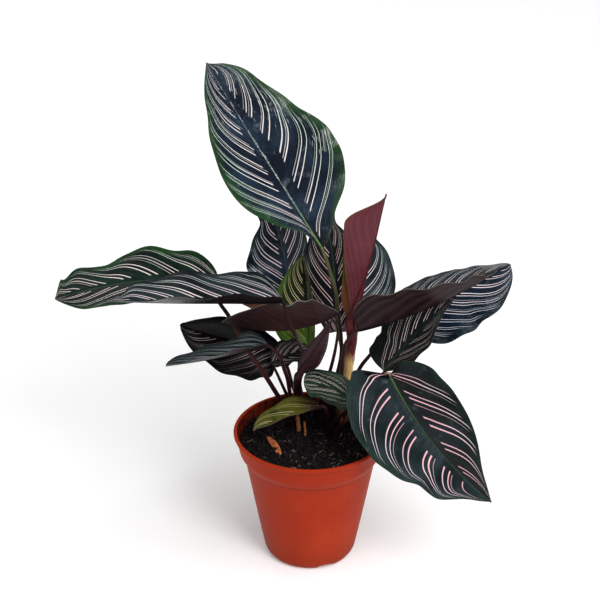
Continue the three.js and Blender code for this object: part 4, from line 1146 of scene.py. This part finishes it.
def relief_group():
    """Height = 0.05 fine veins + 2 quilt bulge + 0.4 streak."""
    g = Group("blade_relief", dict(Float="Streak, Bulge, Fine veins, Quilt"), dict(Float="Height"))
    bulges = g.math("MULTIPLY_ADD", g["Bulge"], g.math("MULTIPLY", g["Quilt"], BULGE_RELIEF),
                    g.math("MULTIPLY", g["Streak"], STREAK_RELIEF))
    g.give("Height", g.math("ADD", g.math("MULTIPLY", g["Fine veins"], VEIN_RELIEF), bulges))
    return g


RELIEF = relief_group()
print("group", RELIEF.tree.name, "with", len(RELIEF.tree.nodes), "nodes")

# %% [markdown]
# ## The leaf's material
#
# A living leaf is a little glossy on top, where its wax reflects the window. On some leaves one
# half is painted darker and the other lighter, a painted shade and light for how the light falls
# on them. Each leaf has its own material, because its numbers differ, but all of them are the same
# few groups in a row: vein number, stripes, grain, ground, lines, underside, relief. A stripe group
# is placed once for each entry of lines, and the strongest of them counts. The cells are numbered
# from 20 on, so that no number is below 0.

# %% Stripes of one leaf
LINE_SEEDS = 3.0
FIRST_CELL = 20.0
STRIPE_END_FADE = 0.03


def stripes_of(n, look, leaf, across, along, seed):
    """What the groups read at a point, its place in the cell, the stripes' mask and the painted
    light and shade of each half.
    """
    v = n.math("ABSOLUTE", across)
    right = n.math("GREATER_THAN", across, 0.0)

    def halves(pair):
        """The first value on the left half and the second on the right half."""
        return n.math("MULTIPLY_ADD", right, pair[1] - pair[0], pair[0])

    slant, turn = zip(*leaf["lean"])
    q = n.group(VEIN_NUMBER, {"Across": across, "Along": along, "Seed": seed,
                              "Slant": halves(slant), "Turn": halves(turn)})["Vein"]
    x = n.math("ADD", n.math("MULTIPLY", q, halves(look["pairs"])),
               n.math("ADD", halves(look["offset"]), FIRST_CELL))
    place = n.math("FRACT", x)
    same = {"Cell": n.math("FLOOR", x), "Place in cell": place, "From midrib": v,
            "Right half": right, "Start": halves(look["start"]), "End": halves(look["end"])}
    stripe = 0.0
    for k, (centre, width, strength, share) in enumerate(look["lines"]):
        line = n.group(STRIPE, {**same, "Seed": seed + LINE_SEEDS * k, "Centre": centre,
                                "Width": look["line"] * width, "Strength": strength,
                                "Share": share})
        stripe = n.math("MAXIMUM", stripe, line["Stripe"])
    first, last = look["first"], look["last"]
    kept = n.math("MULTIPLY", n.between(q, first - STRIPE_END_FADE, first),
                  n.between(q, last - STRIPE_END_FADE, last, 1.0, 0.0))
    stripe = n.math("MULTIPLY", n.math("MULTIPLY", stripe, kept), halves(look["show"]))
    # The last value is each half's factor of painted light and shade.
    return {"Vein": q, "From midrib": v, "Right half": right}, place, stripe, halves(look["tone"])


print("the common look has", len(LOOK["lines"]), "stripes in a cell")

# %% Leaf material
BUMP_DISTANCE, BUMP_STRENGTH = 0.0006, 0.7
LESS_ROUGH, MORE_ROUGH = -0.05, 0.1
PAINTS = ("deep", "pale", "heel", "margin", "stripe", "stripe_end", "rib", "rib_base", "under",
          "under_vein", "rim")


def leaf_material(name, leaf, seed):
    """Striped upper side, dark underside and rim of one leaf."""
    look = {**LOOK, **LOOKS.get(name, {})}
    paint = {key: linear(look[key]) for key in PAINTS}
    n = Material(name + "_tissue", look["shine"])
    uv = n.split(n.add("ShaderNodeUVMap", uv_map="Leaf").outputs["UV"])
    across, along = n.math("MULTIPLY_ADD", uv["X"], 2.0, -1.0), uv["Y"]
    space = n.object_place()
    here, place, stripe, tone = stripes_of(n, look, leaf, across, along, seed)
    grain = n.group(LEAF_GRAIN, {**here, "Position": space})
    streak, cloud, fine = grain["Streak"], grain["Cloud"], grain["Fine veins"]
    ground = n.group(BLADE_GROUND, {
        "Streak": streak, "Cloud": cloud, "Along": along, "From midrib": here["From midrib"],
        "Tone": tone, "Heel full": look["heel_to"][0], "Heel gone": look["heel_to"][1],
        "Margin from": look["margin_from"], "Margin share": look["margin_share"],
        "Worn": look["worn"], "Deep": paint["deep"], "Pale": paint["pale"],
        "Heel": paint["heel"], "Margin": paint["margin"], "Position": space})["Ground"]
    upper = n.group(BLADE_LINES, {
        "Stripe": stripe, "Along": along, "From midrib": here["From midrib"],
        "Reach": n.attribute("reach"), "Ground": ground, "Stripe near": paint["stripe"],
        "Stripe far": paint["stripe_end"], "Rib": paint["rib"],
        "Rib base": paint["rib_base"]})["Upper side"]
    under = n.group(UNDERSIDE, {
        "Streak": streak, "Fine veins": fine, "Cloud": cloud, "Place in cell": place,
        "Edge": n.attribute("edge"), "Bands": look["bands"], "Rim width": look["rim_width"],
        "Under": paint["under"], "Vein colour": paint["under_vein"],
        "Rim": paint["rim"]})["Underside"]
    relief = n.group(RELIEF, {"Streak": streak, "Bulge": grain["Bulge"], "Fine veins": fine,
                              "Quilt": look["quilt"]})
    n.bump(relief["Height"], BUMP_DISTANCE, BUMP_STRENGTH)
    rough = n.between(cloud, 0.3, 0.7, look["rough"] + LESS_ROUGH, look["rough"] + MORE_ROUGH)
    return n.finish(n.mix(n.attribute("top"), under, upper), rough)


print("a leaf's material has", len(PAINTS), "colours")

# %% [markdown]
# ## The stalk's material
#
# A stalk is reddish brown or green under its blade, darker further down, and dark where it enters
# the soil. It is ribbed with fine fibres along its length. The change could be a gradient over
# height, but stalks lean; the attribute down, the share of the way from blade to foot, follows each
# one.

# %% Stalk group and material
STALK_SPECULAR, STALK_ROUGHNESS = 0.08, 0.45
FIBRE_SCALE = (900, 900, 60)
FIBRE_DARK, FIBRE_SHARE, FIBRE_LIMITS = 0.45, 0.5, (0.45, 0.8)
CHANGE_RAGGED = 0.2
UNDER_LIMITS, FOOT_LIMITS = (-0.12, 0.02), (0.6, 0.8)


def stalk_colour_group():
    """Under to top to low to foot colour along the stalk, with dark streaks along its length."""
    g = Group("stalk_colours", dict(Float="Down, Change from, Change to", Vector="Position",
                                    Color="Under, Top, Low, Foot, Dark"), dict(Color="Stalk"))
    stretch = g.fill(g.add("ShaderNodeMapping"), {"Vector": g["Position"], "Scale": FIBRE_SCALE})
    streak = g.noise(stretch["Vector"], 1.0, 2.0)
    down = g["Down"]
    ragged = g.math("MULTIPLY_ADD", streak, CHANGE_RAGGED, -CHANGE_RAGGED / 2)
    share = g.between(g.math("ADD", down, ragged), g["Change from"], g["Change to"])
    colour = g.mix(g.between(down, *UNDER_LIMITS), g["Under"], g["Top"])
    colour = g.mix(share, colour, g["Low"])
    colour = g.mix(g.between(down, *FOOT_LIMITS), colour, g["Foot"])
    g.give("Stalk", g.mix(g.between(streak, *FIBRE_LIMITS, 0.0, FIBRE_SHARE), colour, g["Dark"]))
    return g


STALK_COLOURS = stalk_colour_group()


def stalk_material(name):
    """A stalk that changes from its blade colour to its soil colour."""
    look = {**LOOK, **LOOKS.get(name, {})}
    n = Material(name + "_stalk_tissue", STALK_SPECULAR)
    dark = tuple(FIBRE_DARK * c for c in look["stalk_low"])
    colours = n.group(STALK_COLOURS, {
        "Down": n.attribute("down"), "Change from": look["change"][0],
        "Change to": look["change"][1], "Position": n.object_place(),
        "Under": linear(look["under"]), "Top": linear(look["stalk_top"]),
        "Low": linear(look["stalk_low"]), "Foot": linear(look["foot"]), "Dark": linear(dark)})
    return n.finish(colours["Stalk"], STALK_ROUGHNESS)


print("group", STALK_COLOURS.tree.name, "with", len(STALK_COLOURS.tree.nodes), "nodes")

# %% Make every leaf
for seed, (name, entry) in enumerate(LEAVES.items()):
    leaf = {**PLAIN, **entry}
    blade = make_blade(name, leaf, leaf_material(name, leaf, float(seed)))
    stalk = make_stalk(name, leaf, stalk_material(name))
    print(name, "blade", len(blade.data.polygons), "faces, stalk", len(stalk.data.polygons))

# %% [markdown]
# ## Pot shell
#
# The pot is a nursery pot of thin terracotta-coloured plastic: a tapered wall, a shoulder that
# carries a collar, a rolled rim, and four drain notches cut through the corner of the foot. A Screw
# modifier could turn its outline; here the same turning is one formula over the outline's points,
# with a given number of sides. The outline is the CAD's, with rounder corners.

# %% Turned shell
POT_OUTLINE = np.array([
    (0, 0), (30, 0), (32.0, 0.45), (33.9, 1.6), (35.4, 3.8), (36.3, 6), (36.9, 8.4), (41.8, 34),
    (46.7, 61), (51.1, 85.1), (51.3, 85.8), (51.7, 86.5), (54.9, 91.6), (55.4, 92.8), (55.8, 94.4),
    (56.4, 97.5), (57.1, 103.4), (57.6, 104.7), (58.7, 105.3), (59.5, 105.8), (59.9, 106.8),
    (60, 107.8), (59.6, 108.6), (58.7, 109), (57.8, 108.8), (57.1, 108.2), (56.7, 107),
    (56.0, 105.5), (54.8, 97.2), (53.8, 93.1), (49.7, 86.6), (45, 61), (35.4, 8.3), (33.4, 3),
    (30, 1.6), (0, 1.6)])
POT_SIDES = 192


def turned(outline_points, sides):
    """Surface of revolution: point (r cos a, r sin a, z), closed on the axis at both ends."""
    r, z = outline_points[1:-1, :1], outline_points[1:-1, 1:]
    angle = 2 * np.pi * np.arange(sides) / sides
    rings = np.stack([r * np.cos(angle), r * np.sin(angle), np.repeat(z, sides, 1)], -1)
    return closed_tube(rings, *([0, 0, outline_points[end, 1]] for end in (0, -1)))


print("pot outline", len(POT_OUTLINE), "points, turned in", POT_SIDES, "sides")

# %% [markdown]
# ## Pot material
#
# The plastic is dull and a little uneven in colour. It has dark specks of dirt and, inside the rim,
# spots of soil dust. Painted shade lies over it in three places: a thin dark line in the crease
# where the shoulder starts, a darkening towards the foot, and a darker inner wall above the soil.
# All this could be painted on; here each kind has its own mask, from the height, the distance from
# the axis, or noise. Lengths in a material are in metres.

# %% Pot material
PLASTIC, PALER_PLASTIC, SCUFF = (150, 42, 18), (166, 54, 25), (128, 36, 18)
SPECK, CREASE_SHADE, FOOT_SHADE = (58, 24, 18), (84, 26, 16), (112, 34, 17)
INNER_WALL_SHADE, SOIL_DUST = (58, 22, 16), (34, 18, 16)
BROAD_NOISE, FINE_NOISE = (14.0, 3.0, 0.5), (260.0, 3.0, 0.5)
SPECKS_PER_METRE, SPECK_FULL_TO, SPECK_GONE_FROM, SPECK_SHARE = 190.0, 0.10, 0.17, 0.55
CREASE_HEIGHT, CREASE_SHADE_FULL_TO, CREASE_SHADE_GONE_FROM, CREASE_SHADE_SHARE = 0.0857, 0.0002, 0.0008, 0.6
COLLAR_SLOPE, COLLAR_HEIGHT, COLLAR_RADIUS = 0.145, 0.0985, 0.0559
INSIDE_FROM, INSIDE_FULL, INNER_WALL_SHADE_SHARE = 0.097, 0.099, 0.7
FOOT_SHADE_FULL_TO, FOOT_SHADE_GONE_FROM, FOOT_SHADE_SHARE, FOOT_SHADE_RAGGED = 0.01, 0.06, 0.5, 0.03


def pot_material():
    """Terracotta-coloured plastic with scuffs, dark specks and soil dust inside the rim, and
    painted shade in the shoulder's crease, towards the foot and on the inner wall.
    """
    n = Material("terracotta_plastic", 0.06)
    place = n.object_place()
    split = n.split(place)
    x, y, z = (split[axis] for axis in "XYZ")
    out = n.math("SQRT", n.math("ADD", n.math("MULTIPLY", x, x), n.math("MULTIPLY", y, y)))
    broad = mottled(n, place, BROAD_NOISE, (0.35, 0.7), 1.0, linear(PLASTIC), linear(PALER_PLASTIC))
    fine = mottled(n, place, FINE_NOISE, (0.55, 0.8), 0.35, broad["Colour"], linear(SCUFF))
    cells = n.fill(n.add("ShaderNodeTexVoronoi", feature="F1"),
                   {"Vector": place, "Scale": SPECKS_PER_METRE})
    near = n.between(cells["Distance"], SPECK_FULL_TO, SPECK_GONE_FROM, 1.0, 0.0)
    some = n.between(n.noise(place, 30.0, 1.0), 0.5, 0.62)
    speck = n.math("MULTIPLY", n.math("MULTIPLY", near, some), SPECK_SHARE)
    # Painted shade: a thin dark line in the crease where the shoulder meets the wall.
    crease_shade = n.between(n.math("ABSOLUTE", n.math("SUBTRACT", z, CREASE_HEIGHT)), CREASE_SHADE_FULL_TO,
                     CREASE_SHADE_GONE_FROM, CREASE_SHADE_SHARE, 0.0)
    middle_of_wall = n.math("MULTIPLY_ADD", z, COLLAR_SLOPE,
                            COLLAR_RADIUS - COLLAR_HEIGHT * COLLAR_SLOPE)
    inside = n.math("MULTIPLY", n.math("LESS_THAN", out, middle_of_wall),
                    n.between(z, INSIDE_FROM, INSIDE_FULL))
    dust = n.between(n.math("ADD", fine["Noise"], n.math("MULTIPLY", broad["Noise"], 0.4)),
                     0.62, 0.8, 0.0, 0.8)
    # Painted shade: the pot grows darker towards its foot.
    foot_shade = n.between(n.math("MULTIPLY_ADD", broad["Noise"], FOOT_SHADE_RAGGED, z), FOOT_SHADE_FULL_TO,
                      FOOT_SHADE_GONE_FROM, FOOT_SHADE_SHARE, 0.0)
    colour = fine["Colour"]
    # On the inner wall: painted shade over all of it, and spots of soil dust.
    inner_wall_shade, dusty = n.math("MULTIPLY", inside, INNER_WALL_SHADE_SHARE), n.math("MULTIPLY", inside, dust)
    for share, dirt in ((speck, SPECK), (crease_shade, CREASE_SHADE), (inner_wall_shade, INNER_WALL_SHADE), (dusty, SOIL_DUST),
                        (foot_shade, FOOT_SHADE)):
        colour = n.mix(share, colour, linear(dirt))
    n.bump(fine["Noise"], 0.0001, 0.25)
    return n.finish(colour, n.between(broad["Noise"], 0.3, 0.7, 0.42, 0.55))


points, faces = turned(POT_OUTLINE, POT_SIDES)
pot = new_piece("pot_shell", points, faces, pot_material(), "pot", smooth=35)
print("pot faces before cutting", len(pot.data.polygons))

# %% [markdown]
# ## Drain notches
#
# Each notch is an arch 17 mm wide and 4.6 mm high in the corner between wall and foot. Under the
# foot it is only 1.2 mm deep, less than the floor is thick, so the pot stays closed inside. Their
# edges cross the rounded corner, which is hard to mesh by hand, so an arch-topped bar is subtracted
# from the shell by Blender's exact Boolean.

# %% Cut the drain notches
NOTCH_HALF_WIDTH = 8.5
ARCH_FOOT, ARCH_RISE = -2.4, 7
BAR_FOOT = -3
UNDER_FOOT = 0.26
BAR_RADII = (27, 31.5, 34.5, 44)
FIRST_NOTCH, NOTCHES = -69, 4


def notch_bar(angle):
    """A closed bar along a direction with the profile (w cos a, foot + rise sin(a)^0.6).

    Under the foot the part of the profile above the ground is scaled down.
    """
    a = np.linspace(0, np.pi, 12)
    arch = np.stack([NOTCH_HALF_WIDTH * np.cos(a), ARCH_FOOT + ARCH_RISE * np.sin(a) ** 0.6], -1)
    arch = np.concatenate([[[NOTCH_HALF_WIDTH, BAR_FOOT]], arch, [[-NOTCH_HALF_WIDTH, BAR_FOOT]]])
    low = arch * np.where(arch[:, 1:] > 0, (1, UNDER_FOOT), (1, 1))
    out = np.array([np.cos(angle), np.sin(angle), 0])
    side = np.array([-np.sin(angle), np.cos(angle), 0])
    rings = [line[:, :1] * side + line[:, 1:] * np.array([0, 0, 1.0]) + r * out
             for line, r in zip((low, low, arch, arch), BAR_RADII)]
    m = len(arch)
    ends = [list(range(m))[::-1], list(range(3 * m, 4 * m))]
    return np.concatenate(rings), grid_faces(4, m, wrap=True).tolist() + ends


def plain_object(name, points, faces):
    """An object of the scene from points in metres and faces with any number of corners."""
    mesh = bpy.data.meshes.new(name)
    mesh.from_pydata(points, [], faces)
    ob = bpy.data.objects.new(name, mesh)
    bpy.context.scene.collection.objects.link(ob)
    return ob


def cut_away(piece, tool):
    """Gives the piece the mesh of its exact difference with the tool, and deletes the tool."""
    cut = piece.modifiers.new("cut", "BOOLEAN")
    cut.operation, cut.object, cut.solver = "DIFFERENCE", tool, "EXACT"
    view = bpy.context.evaluated_depsgraph_get()
    cut_mesh = bpy.data.meshes.new_from_object(piece.evaluated_get(view))
    piece.modifiers.clear()
    piece.data = cut_mesh
    bpy.data.objects.remove(tool)


for i in range(NOTCHES):
    points, faces = notch_bar(np.radians(FIRST_NOTCH + 360 / NOTCHES * i))
    cut_away(pot, plain_object("notch", (points * MM).tolist(), faces))
print("pot faces with its notches", len(pot.data.polygons))

# %% [markdown]
# ## Soil body
#
# The soil is dark crumbly potting mix, a little lower at the pot's wall. Sculpting or a
# displacement modifier could roughen a disc. Here its top is a height field, a sum of sine waves in
# many directions at three sizes, because stalks, crumbs and threads can then ask for the height at
# their own place. Below it the body follows the inside of the pot with a small gap.

# %% Height of the soil
WAVES = 24
SOIL_LAYERS = ((0.55, 16, 1), (0.35, 6, 2), (0.22, 2.6, 3))
SOIL_DROP = 0.4
WALL_DROP, WALL_DROP_FROM, WALL_DROP_OVER = 0.9, 44, 10
rng = np.random.default_rng(11)


def lumpy(x, y, scale, seed):
    """Smooth random height: the sum of 24 sine waves of random direction near one wavelength."""
    own = np.random.default_rng(seed)
    angle = own.uniform(0, 2 * np.pi, WAVES)
    size = own.uniform(0.6, 1.6, WAVES) * 2 * np.pi / scale
    phase = own.uniform(0, 2 * np.pi, WAVES)
    x, y = x[..., None] * size * np.cos(angle), y[..., None] * size * np.sin(angle)
    return np.sin(x + y + phase).sum(-1) / np.sqrt(WAVES / 2)


def soil_height(x, y):
    """Height of the soil's top in mm: layers of waves, minus a drop towards the pot's wall."""
    rough = sum(height * lumpy(x, y, scale, seed) for height, scale, seed in SOIL_LAYERS)
    to_wall = np.clip((np.hypot(x, y) - WALL_DROP_FROM) / WALL_DROP_OVER, 0, 1)
    return SOIL_TOP - SOIL_DROP + rough - WALL_DROP * to_wall


print("soil height in the middle", round(float(soil_height(np.zeros(1), np.zeros(1))[0]), 2), "mm")


# %% Soil material and body
def soil_material():
    """Near-black peat with grey grains and brown patches."""
    n = Material("potting_soil", 0.2)
    place = n.object_place()
    grain = mottled(n, place, (420.0, 4.0, 0.7), (0.4, 0.8), 1.0, linear((5, 4, 5)),
                    linear((46, 38, 38)))
    brown = mottled(n, place, (60.0, 2.0, 0.5), (0.55, 0.75), 0.4, grain["Colour"],
                    linear((36, 22, 18)))
    n.bump(grain["Noise"], 0.0008, 0.9)
    return n.finish(brown["Colour"], 0.9)


SOIL_RADIUS = (0.6, 54.5)
SOIL_GRID = ((130, 260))
SOIL_WALL = ((53.6, 96), (52.5, 92.4), (48.8, 86), (44.2, 61), (34.5, 8.6), (32.3, 3.6), (29, 2.2))
soil_look = soil_material()
radius = np.linspace(*SOIL_RADIUS, SOIL_GRID[0])[:, None]
angle = 2 * np.pi * np.arange(SOIL_GRID[1]) / SOIL_GRID[1]
x, y = radius * np.cos(angle), radius * np.sin(angle)
wall = [np.stack([r * np.cos(angle), r * np.sin(angle), np.full(len(angle), z)], -1)
        for r, z in SOIL_WALL]
rings = np.concatenate([np.stack([x, y, soil_height(x, y)], -1), wall])
middle = [0, 0, soil_height(np.zeros(1), np.zeros(1))[0]]
points, faces = closed_tube(rings, middle, [0, 0, SOIL_WALL[-1][1]], inside_out=True)
new_piece("soil_body", points, faces, soil_look, "soil", smooth=80)
print("soil body", len(faces), "faces")

# %% [markdown]
# ## Crumbs, root threads and bark
#
# Loose crumbs of 1 to 5 mm lie all over real potting soil, with pale thin root threads and brown
# bits of bark between them. A particle system could scatter copies of one crumb. Here all crumbs
# are one mesh: twelve corners for each, turned and stretched by random draws as whole arrays, so
# that no two are alike and the piece needs no hidden originals. The draws come from one seeded
# generator in a fixed order, so the soil is the same in every run.

# %% Loose crumbs
RING_TILT = 0.5
LOWER_RING_TURN = 0.63
CORNERS = np.array([(0, 0, 1), (0, 0, -1)] + [
    (np.cos(a) * np.cos(b), np.sin(a) * np.cos(b), np.sin(b))
    for b in (RING_TILT, -RING_TILT)
    for a in np.arange(5) * 2 * np.pi / 5 + (LOWER_RING_TURN if b < 0 else 0)])
LUMP_FACES = np.array(
    [(0, 2 + i, 2 + (i + 1) % 5) for i in range(5)]
    + [(1, 7 + (i + 1) % 5, 7 + i) for i in range(5)]
    + [(2 + i, 7 + i, 2 + (i + 1) % 5) for i in range(5)]
    + [(7 + i, 7 + (i + 1) % 5, 2 + (i + 1) % 5) for i in range(5)])
SMALL_CRUMBS_POWER = 1.8
CRUMBS = 2400


def lumps(count, low, high, reach, lift):
    """Small angular lumps on the soil, from low to high mm in radius, most of them small.

    They lie within reach of the axis, each lifted by a share of its size, and each is turned and
    stretched by its own random draw.
    """
    where = rng.uniform(0, 2 * np.pi, count)
    away = reach * np.sqrt(rng.uniform(0, 1, count))
    size = low * (high / low) ** rng.uniform(0, 1, count) ** SMALL_CRUMBS_POWER
    turn = np.linalg.qr(rng.normal(size=(count, 3, 3)))[0]
    turn[:, :, 0] *= np.sign(np.linalg.det(turn))[:, None]
    stretch = rng.uniform(0.6, 1.3, (count, 1, 3))
    jitter = rng.uniform(0.8, 1.2, (count, len(CORNERS), 1))
    shape = CORNERS[None] * stretch * jitter * size[:, None, None] @ np.swapaxes(turn, 1, 2)
    x, y = away * np.cos(where), away * np.sin(where)
    centre = np.stack([x, y, soil_height(x, y) + lift * size], -1)
    points = (centre[:, None] + shape).reshape(-1, 3)
    faces = (LUMP_FACES[None] + (np.arange(count) * len(CORNERS))[:, None, None]).reshape(-1, 3)
    return points, faces


points, faces = lumps(CRUMBS, low=0.5, high=2.6, reach=52, lift=0.15)
new_piece("soil_crumbs", points, faces, soil_look, "soil", smooth=20)
print(CRUMBS, "crumbs")

# %% Root threads
THREADS = 120
GRAIN_DARK = 0.55
THREAD_REACH, THREAD_LIMIT = 50, 52
THREAD_ENDS = np.array([0.6, 1, 1, 0.5])


def fibre_material(name, colour):
    """Plain matt fibre with darker grain."""
    dark = tuple(GRAIN_DARK * c for c in colour)
    n = Material(name)
    grain = mottled(n, n.object_place(), (500.0, 2.0, 0.5), (0.35, 0.7), 1.0, linear(colour),
                    linear(dark))
    return n.finish(grain["Colour"], 0.8)


def root_thread():
    """A thin bent thread that lies on the soil, kept inside the pot."""
    a, r = rng.uniform(0, 2 * np.pi), THREAD_REACH * np.sqrt(rng.uniform(0.02, 1))
    heading, length = rng.uniform(0, 2 * np.pi), rng.uniform(2.5, 9)
    s = np.linspace(-0.5, 0.5, 4)
    turn = heading + rng.uniform(-1.2, 1.2) * s
    x, y = r * np.cos(a) + length * s * np.cos(turn), r * np.sin(a) + length * s * np.sin(turn)
    inside = np.minimum(1, THREAD_LIMIT / np.maximum(np.hypot(x, y), 1))
    x, y = x * inside, y * inside
    line = np.stack([x, y, soil_height(x, y) + 0.5 + rng.uniform(0, 0.7, 4)], -1)
    radii = rng.uniform(0.1, 0.22) * THREAD_ENDS
    return limb(line, radii, upward=(0, 0, 1), count=9, sides=5)[:2]


thread_points, thread_faces = zip(*(root_thread() for _ in range(THREADS)))
starts = np.cumsum([0, *map(len, thread_points)])
new_piece("root_threads", np.concatenate(thread_points),
          np.concatenate([face + start for face, start in zip(thread_faces, starts)]),
          fibre_material("root_thread", (146, 134, 124)), "soil")
print(THREADS, "root threads with", starts[-1], "points")

# %% Bark bits
points, faces = lumps(26, low=0.5, high=1.5, reach=48, lift=0.2)
new_piece("bark_bits", points, faces, fibre_material("bark_bit", (104, 62, 40)),
          "soil", smooth=20)
print("bark bits", len(points) // len(CORNERS))

# %% [markdown]
# ## Dry stubs
#
# Three ends of old stalks stand in the soil, dried to a light brown. A cylinder would do for their
# size, but a limb lets them lean and grow thinner like the stalks they once were, and they stand in
# the soil in the same way.

# %% Dry stubs
STUBS = {"dry_stub_left": ((-9, 10), (-10, 12, 115), 1.7),
         "dry_stub_middle": ((-4, 4), (-4.5, 5, 113), 1.0),
         "dry_stub_right": ((24.5, 15.5), (25, 17, 113), 1.2)}
STUB_TIP = 0.85
dry_look = fibre_material("dry_stalk", (176, 112, 64))
for name, (root, top, radius) in STUBS.items():
    points, faces, _ = limb([top, *foot_points(root)], [radius * STUB_TIP, radius, radius],
                            upward=(1, 0, 0), count=24, sides=14)
    new_piece(name + "_fine", points, faces, dry_look, name, smooth=50)
    print(name, len(faces), "faces")

# %% [markdown]
# ## Dry chip
#
# A pointed scale of a dry leaf sheath leans in the soil at the front left. It is hollowed across
# its width and bowed along its length. A scaled sphere or a plane with a Bend modifier would be
# near, but the closed sheet of the blades fits it as well: a half width and a bow along t, a hollow
# along u.

# %% Dry chip
CHIP_START, CHIP_END = np.array((-33, -5, 105.0)), np.array((-21.5, -29, 99.0))
CHIP_HALF_WIDTH, CHIP_NARROWEST = 2.75, 0.12
CHIP_BOW, CHIP_HOLLOW = 2.5, 0.5
CHIP_HALF_THICKNESS, CHIP_THINNING = 0.35, 0.6


def chip():
    """A pointed scale: half width w sin(pi (0.15 + 0.8 t)), bow b sin(pi t), hollow h (1 - u^2)."""
    along = unit(CHIP_END - CHIP_START)
    side = unit(np.cross(along, (0, 0, 1.0)))
    upper = np.cross(side, along)
    t, u = np.meshgrid(np.linspace(0, 1, 30), np.linspace(-1, 1, 11), indexing="ij")
    half = CHIP_HALF_WIDTH * np.maximum(CHIP_NARROWEST, np.sin(np.pi * (0.15 + 0.8 * t)))
    raised = CHIP_BOW * np.sin(np.pi * t) - CHIP_HOLLOW * (1 - u**2)
    middle = (CHIP_START + (CHIP_END - CHIP_START) * t[..., None]
              + upper * raised[..., None] + side * (half * u)[..., None])
    thick = upper * (CHIP_HALF_THICKNESS * (1 - CHIP_THINNING * u**4))[..., None]
    return closed_sheet(middle + thick, middle - thick)


points, faces = chip()
new_piece("dry_chip_fine", points, faces, fibre_material("dry_bark", (190, 104, 56)),
          "dry_chip", smooth=50)
print("dry chip", len(faces), "faces")

# %% [markdown]
# ## Floor
#
# The photo has a plain white ground. A large pale square that glows a little gives a clean floor
# with a soft shadow; a shadow catcher would need a picture laid behind it. It is staged, so it is
# no part of the object.

# %% Floor
FLOOR_HALF = 14
FLOOR_GLOW = 0.15
corners = [(x * FLOOR_HALF, y * FLOOR_HALF, 0) for x, y in ((-1, -1), (1, -1), (1, 1), (-1, 1))]
floor = plain_object("floor", corners, [(0, 1, 2, 3)])
floor_look = Material("pale_floor")
floor_look.shader.inputs["Emission Color"].default_value = (1, 1, 1, 1)
floor_look.shader.inputs["Emission Strength"].default_value = FLOOR_GLOW
floor.data.materials.append(floor_look.finish((0.92, 0.92, 0.92, 1), 0.9))
print("floor", 2 * FLOOR_HALF, "m wide")

# %% [markdown]
# ## Light
#
# The plant stands in soft daylight from above and behind the camera. An image of a room could light
# it, but nothing is read from disk. A sun as wide as a cloudy sky gives most of the light. It is
# kept out of the glossy reflections, because there it would lay a grey haze over the dark leaves;
# their highlights come from a key lamp at the front right, a weaker fill lamp at the left and a
# third lamp behind.

# %% Light
WORLD_STRENGTH = 0.18
AIM = (0, 0, 0.2)
LAMPS = {"key": ((0.6, -1.1, 1.3), 0.6, 13), "fill": ((-1.2, -0.8, 0.9), 1.2, 3),
         "rear": ((-0.6, 1.4, 1.3), 1.0, 3)}
SUN_STRENGTH, SUN_WIDTH, SUN_TILT = 2.3, 80, 22
world = bpy.data.worlds.new("studio")
world.use_nodes = True
world.node_tree.nodes["Background"].inputs["Color"].default_value = (1, 1, 1, 1)
world.node_tree.nodes["Background"].inputs["Strength"].default_value = WORLD_STRENGTH
bpy.context.scene.world = world


def staged(name, data):
    """An object of the stage with this lamp."""
    ob = bpy.data.objects.new(name, data)
    bpy.context.scene.collection.objects.link(ob)
    return ob


for name, (place, size, power) in LAMPS.items():
    light = bpy.data.lights.new(name, "AREA")
    light.size, light.energy = size, power
    lamp = staged(name, light)
    lamp.location = place
    lamp.rotation_euler = (Vector(AIM) - Vector(place)).to_track_quat("-Z", "Y").to_euler()
light = bpy.data.lights.new("soft_sun", "SUN")
light.energy, light.angle = SUN_STRENGTH, np.radians(SUN_WIDTH)
sun = staged("soft_sun", light)
sun.rotation_euler = (np.radians(SUN_TILT), np.radians(SUN_TILT), 0)
sun.visible_glossy = False
print("lamps", len(LAMPS), "and a sun", SUN_WIDTH, "degrees wide")

# %% [markdown]
# ## Camera
#
# The photo looks slightly down on the plant with little perspective. The camera could be set by
# eye, but this one was worked out from the ellipses that the round rim and foot of the pot make in
# the photo: it stands 1.14 m in front of the pot, 0.8 m high, and looks down by 26.8 degrees.

# %% Camera
LOOKS_DOWN = 26.8
camera_data = bpy.data.cameras.new("camera")
camera_data.lens, camera_data.sensor_width = 102, 36
camera = bpy.data.objects.new("camera", camera_data)
camera.location = (-0.008, -1.14, 0.798)
camera.rotation_euler = (np.radians(90 - LOOKS_DOWN), 0, 0)
bpy.context.scene.collection.objects.link(camera)
bpy.context.scene.camera = camera
bpy.context.scene.view_settings.view_transform = "Standard"
print("camera with a lens of", camera_data.lens, "mm")
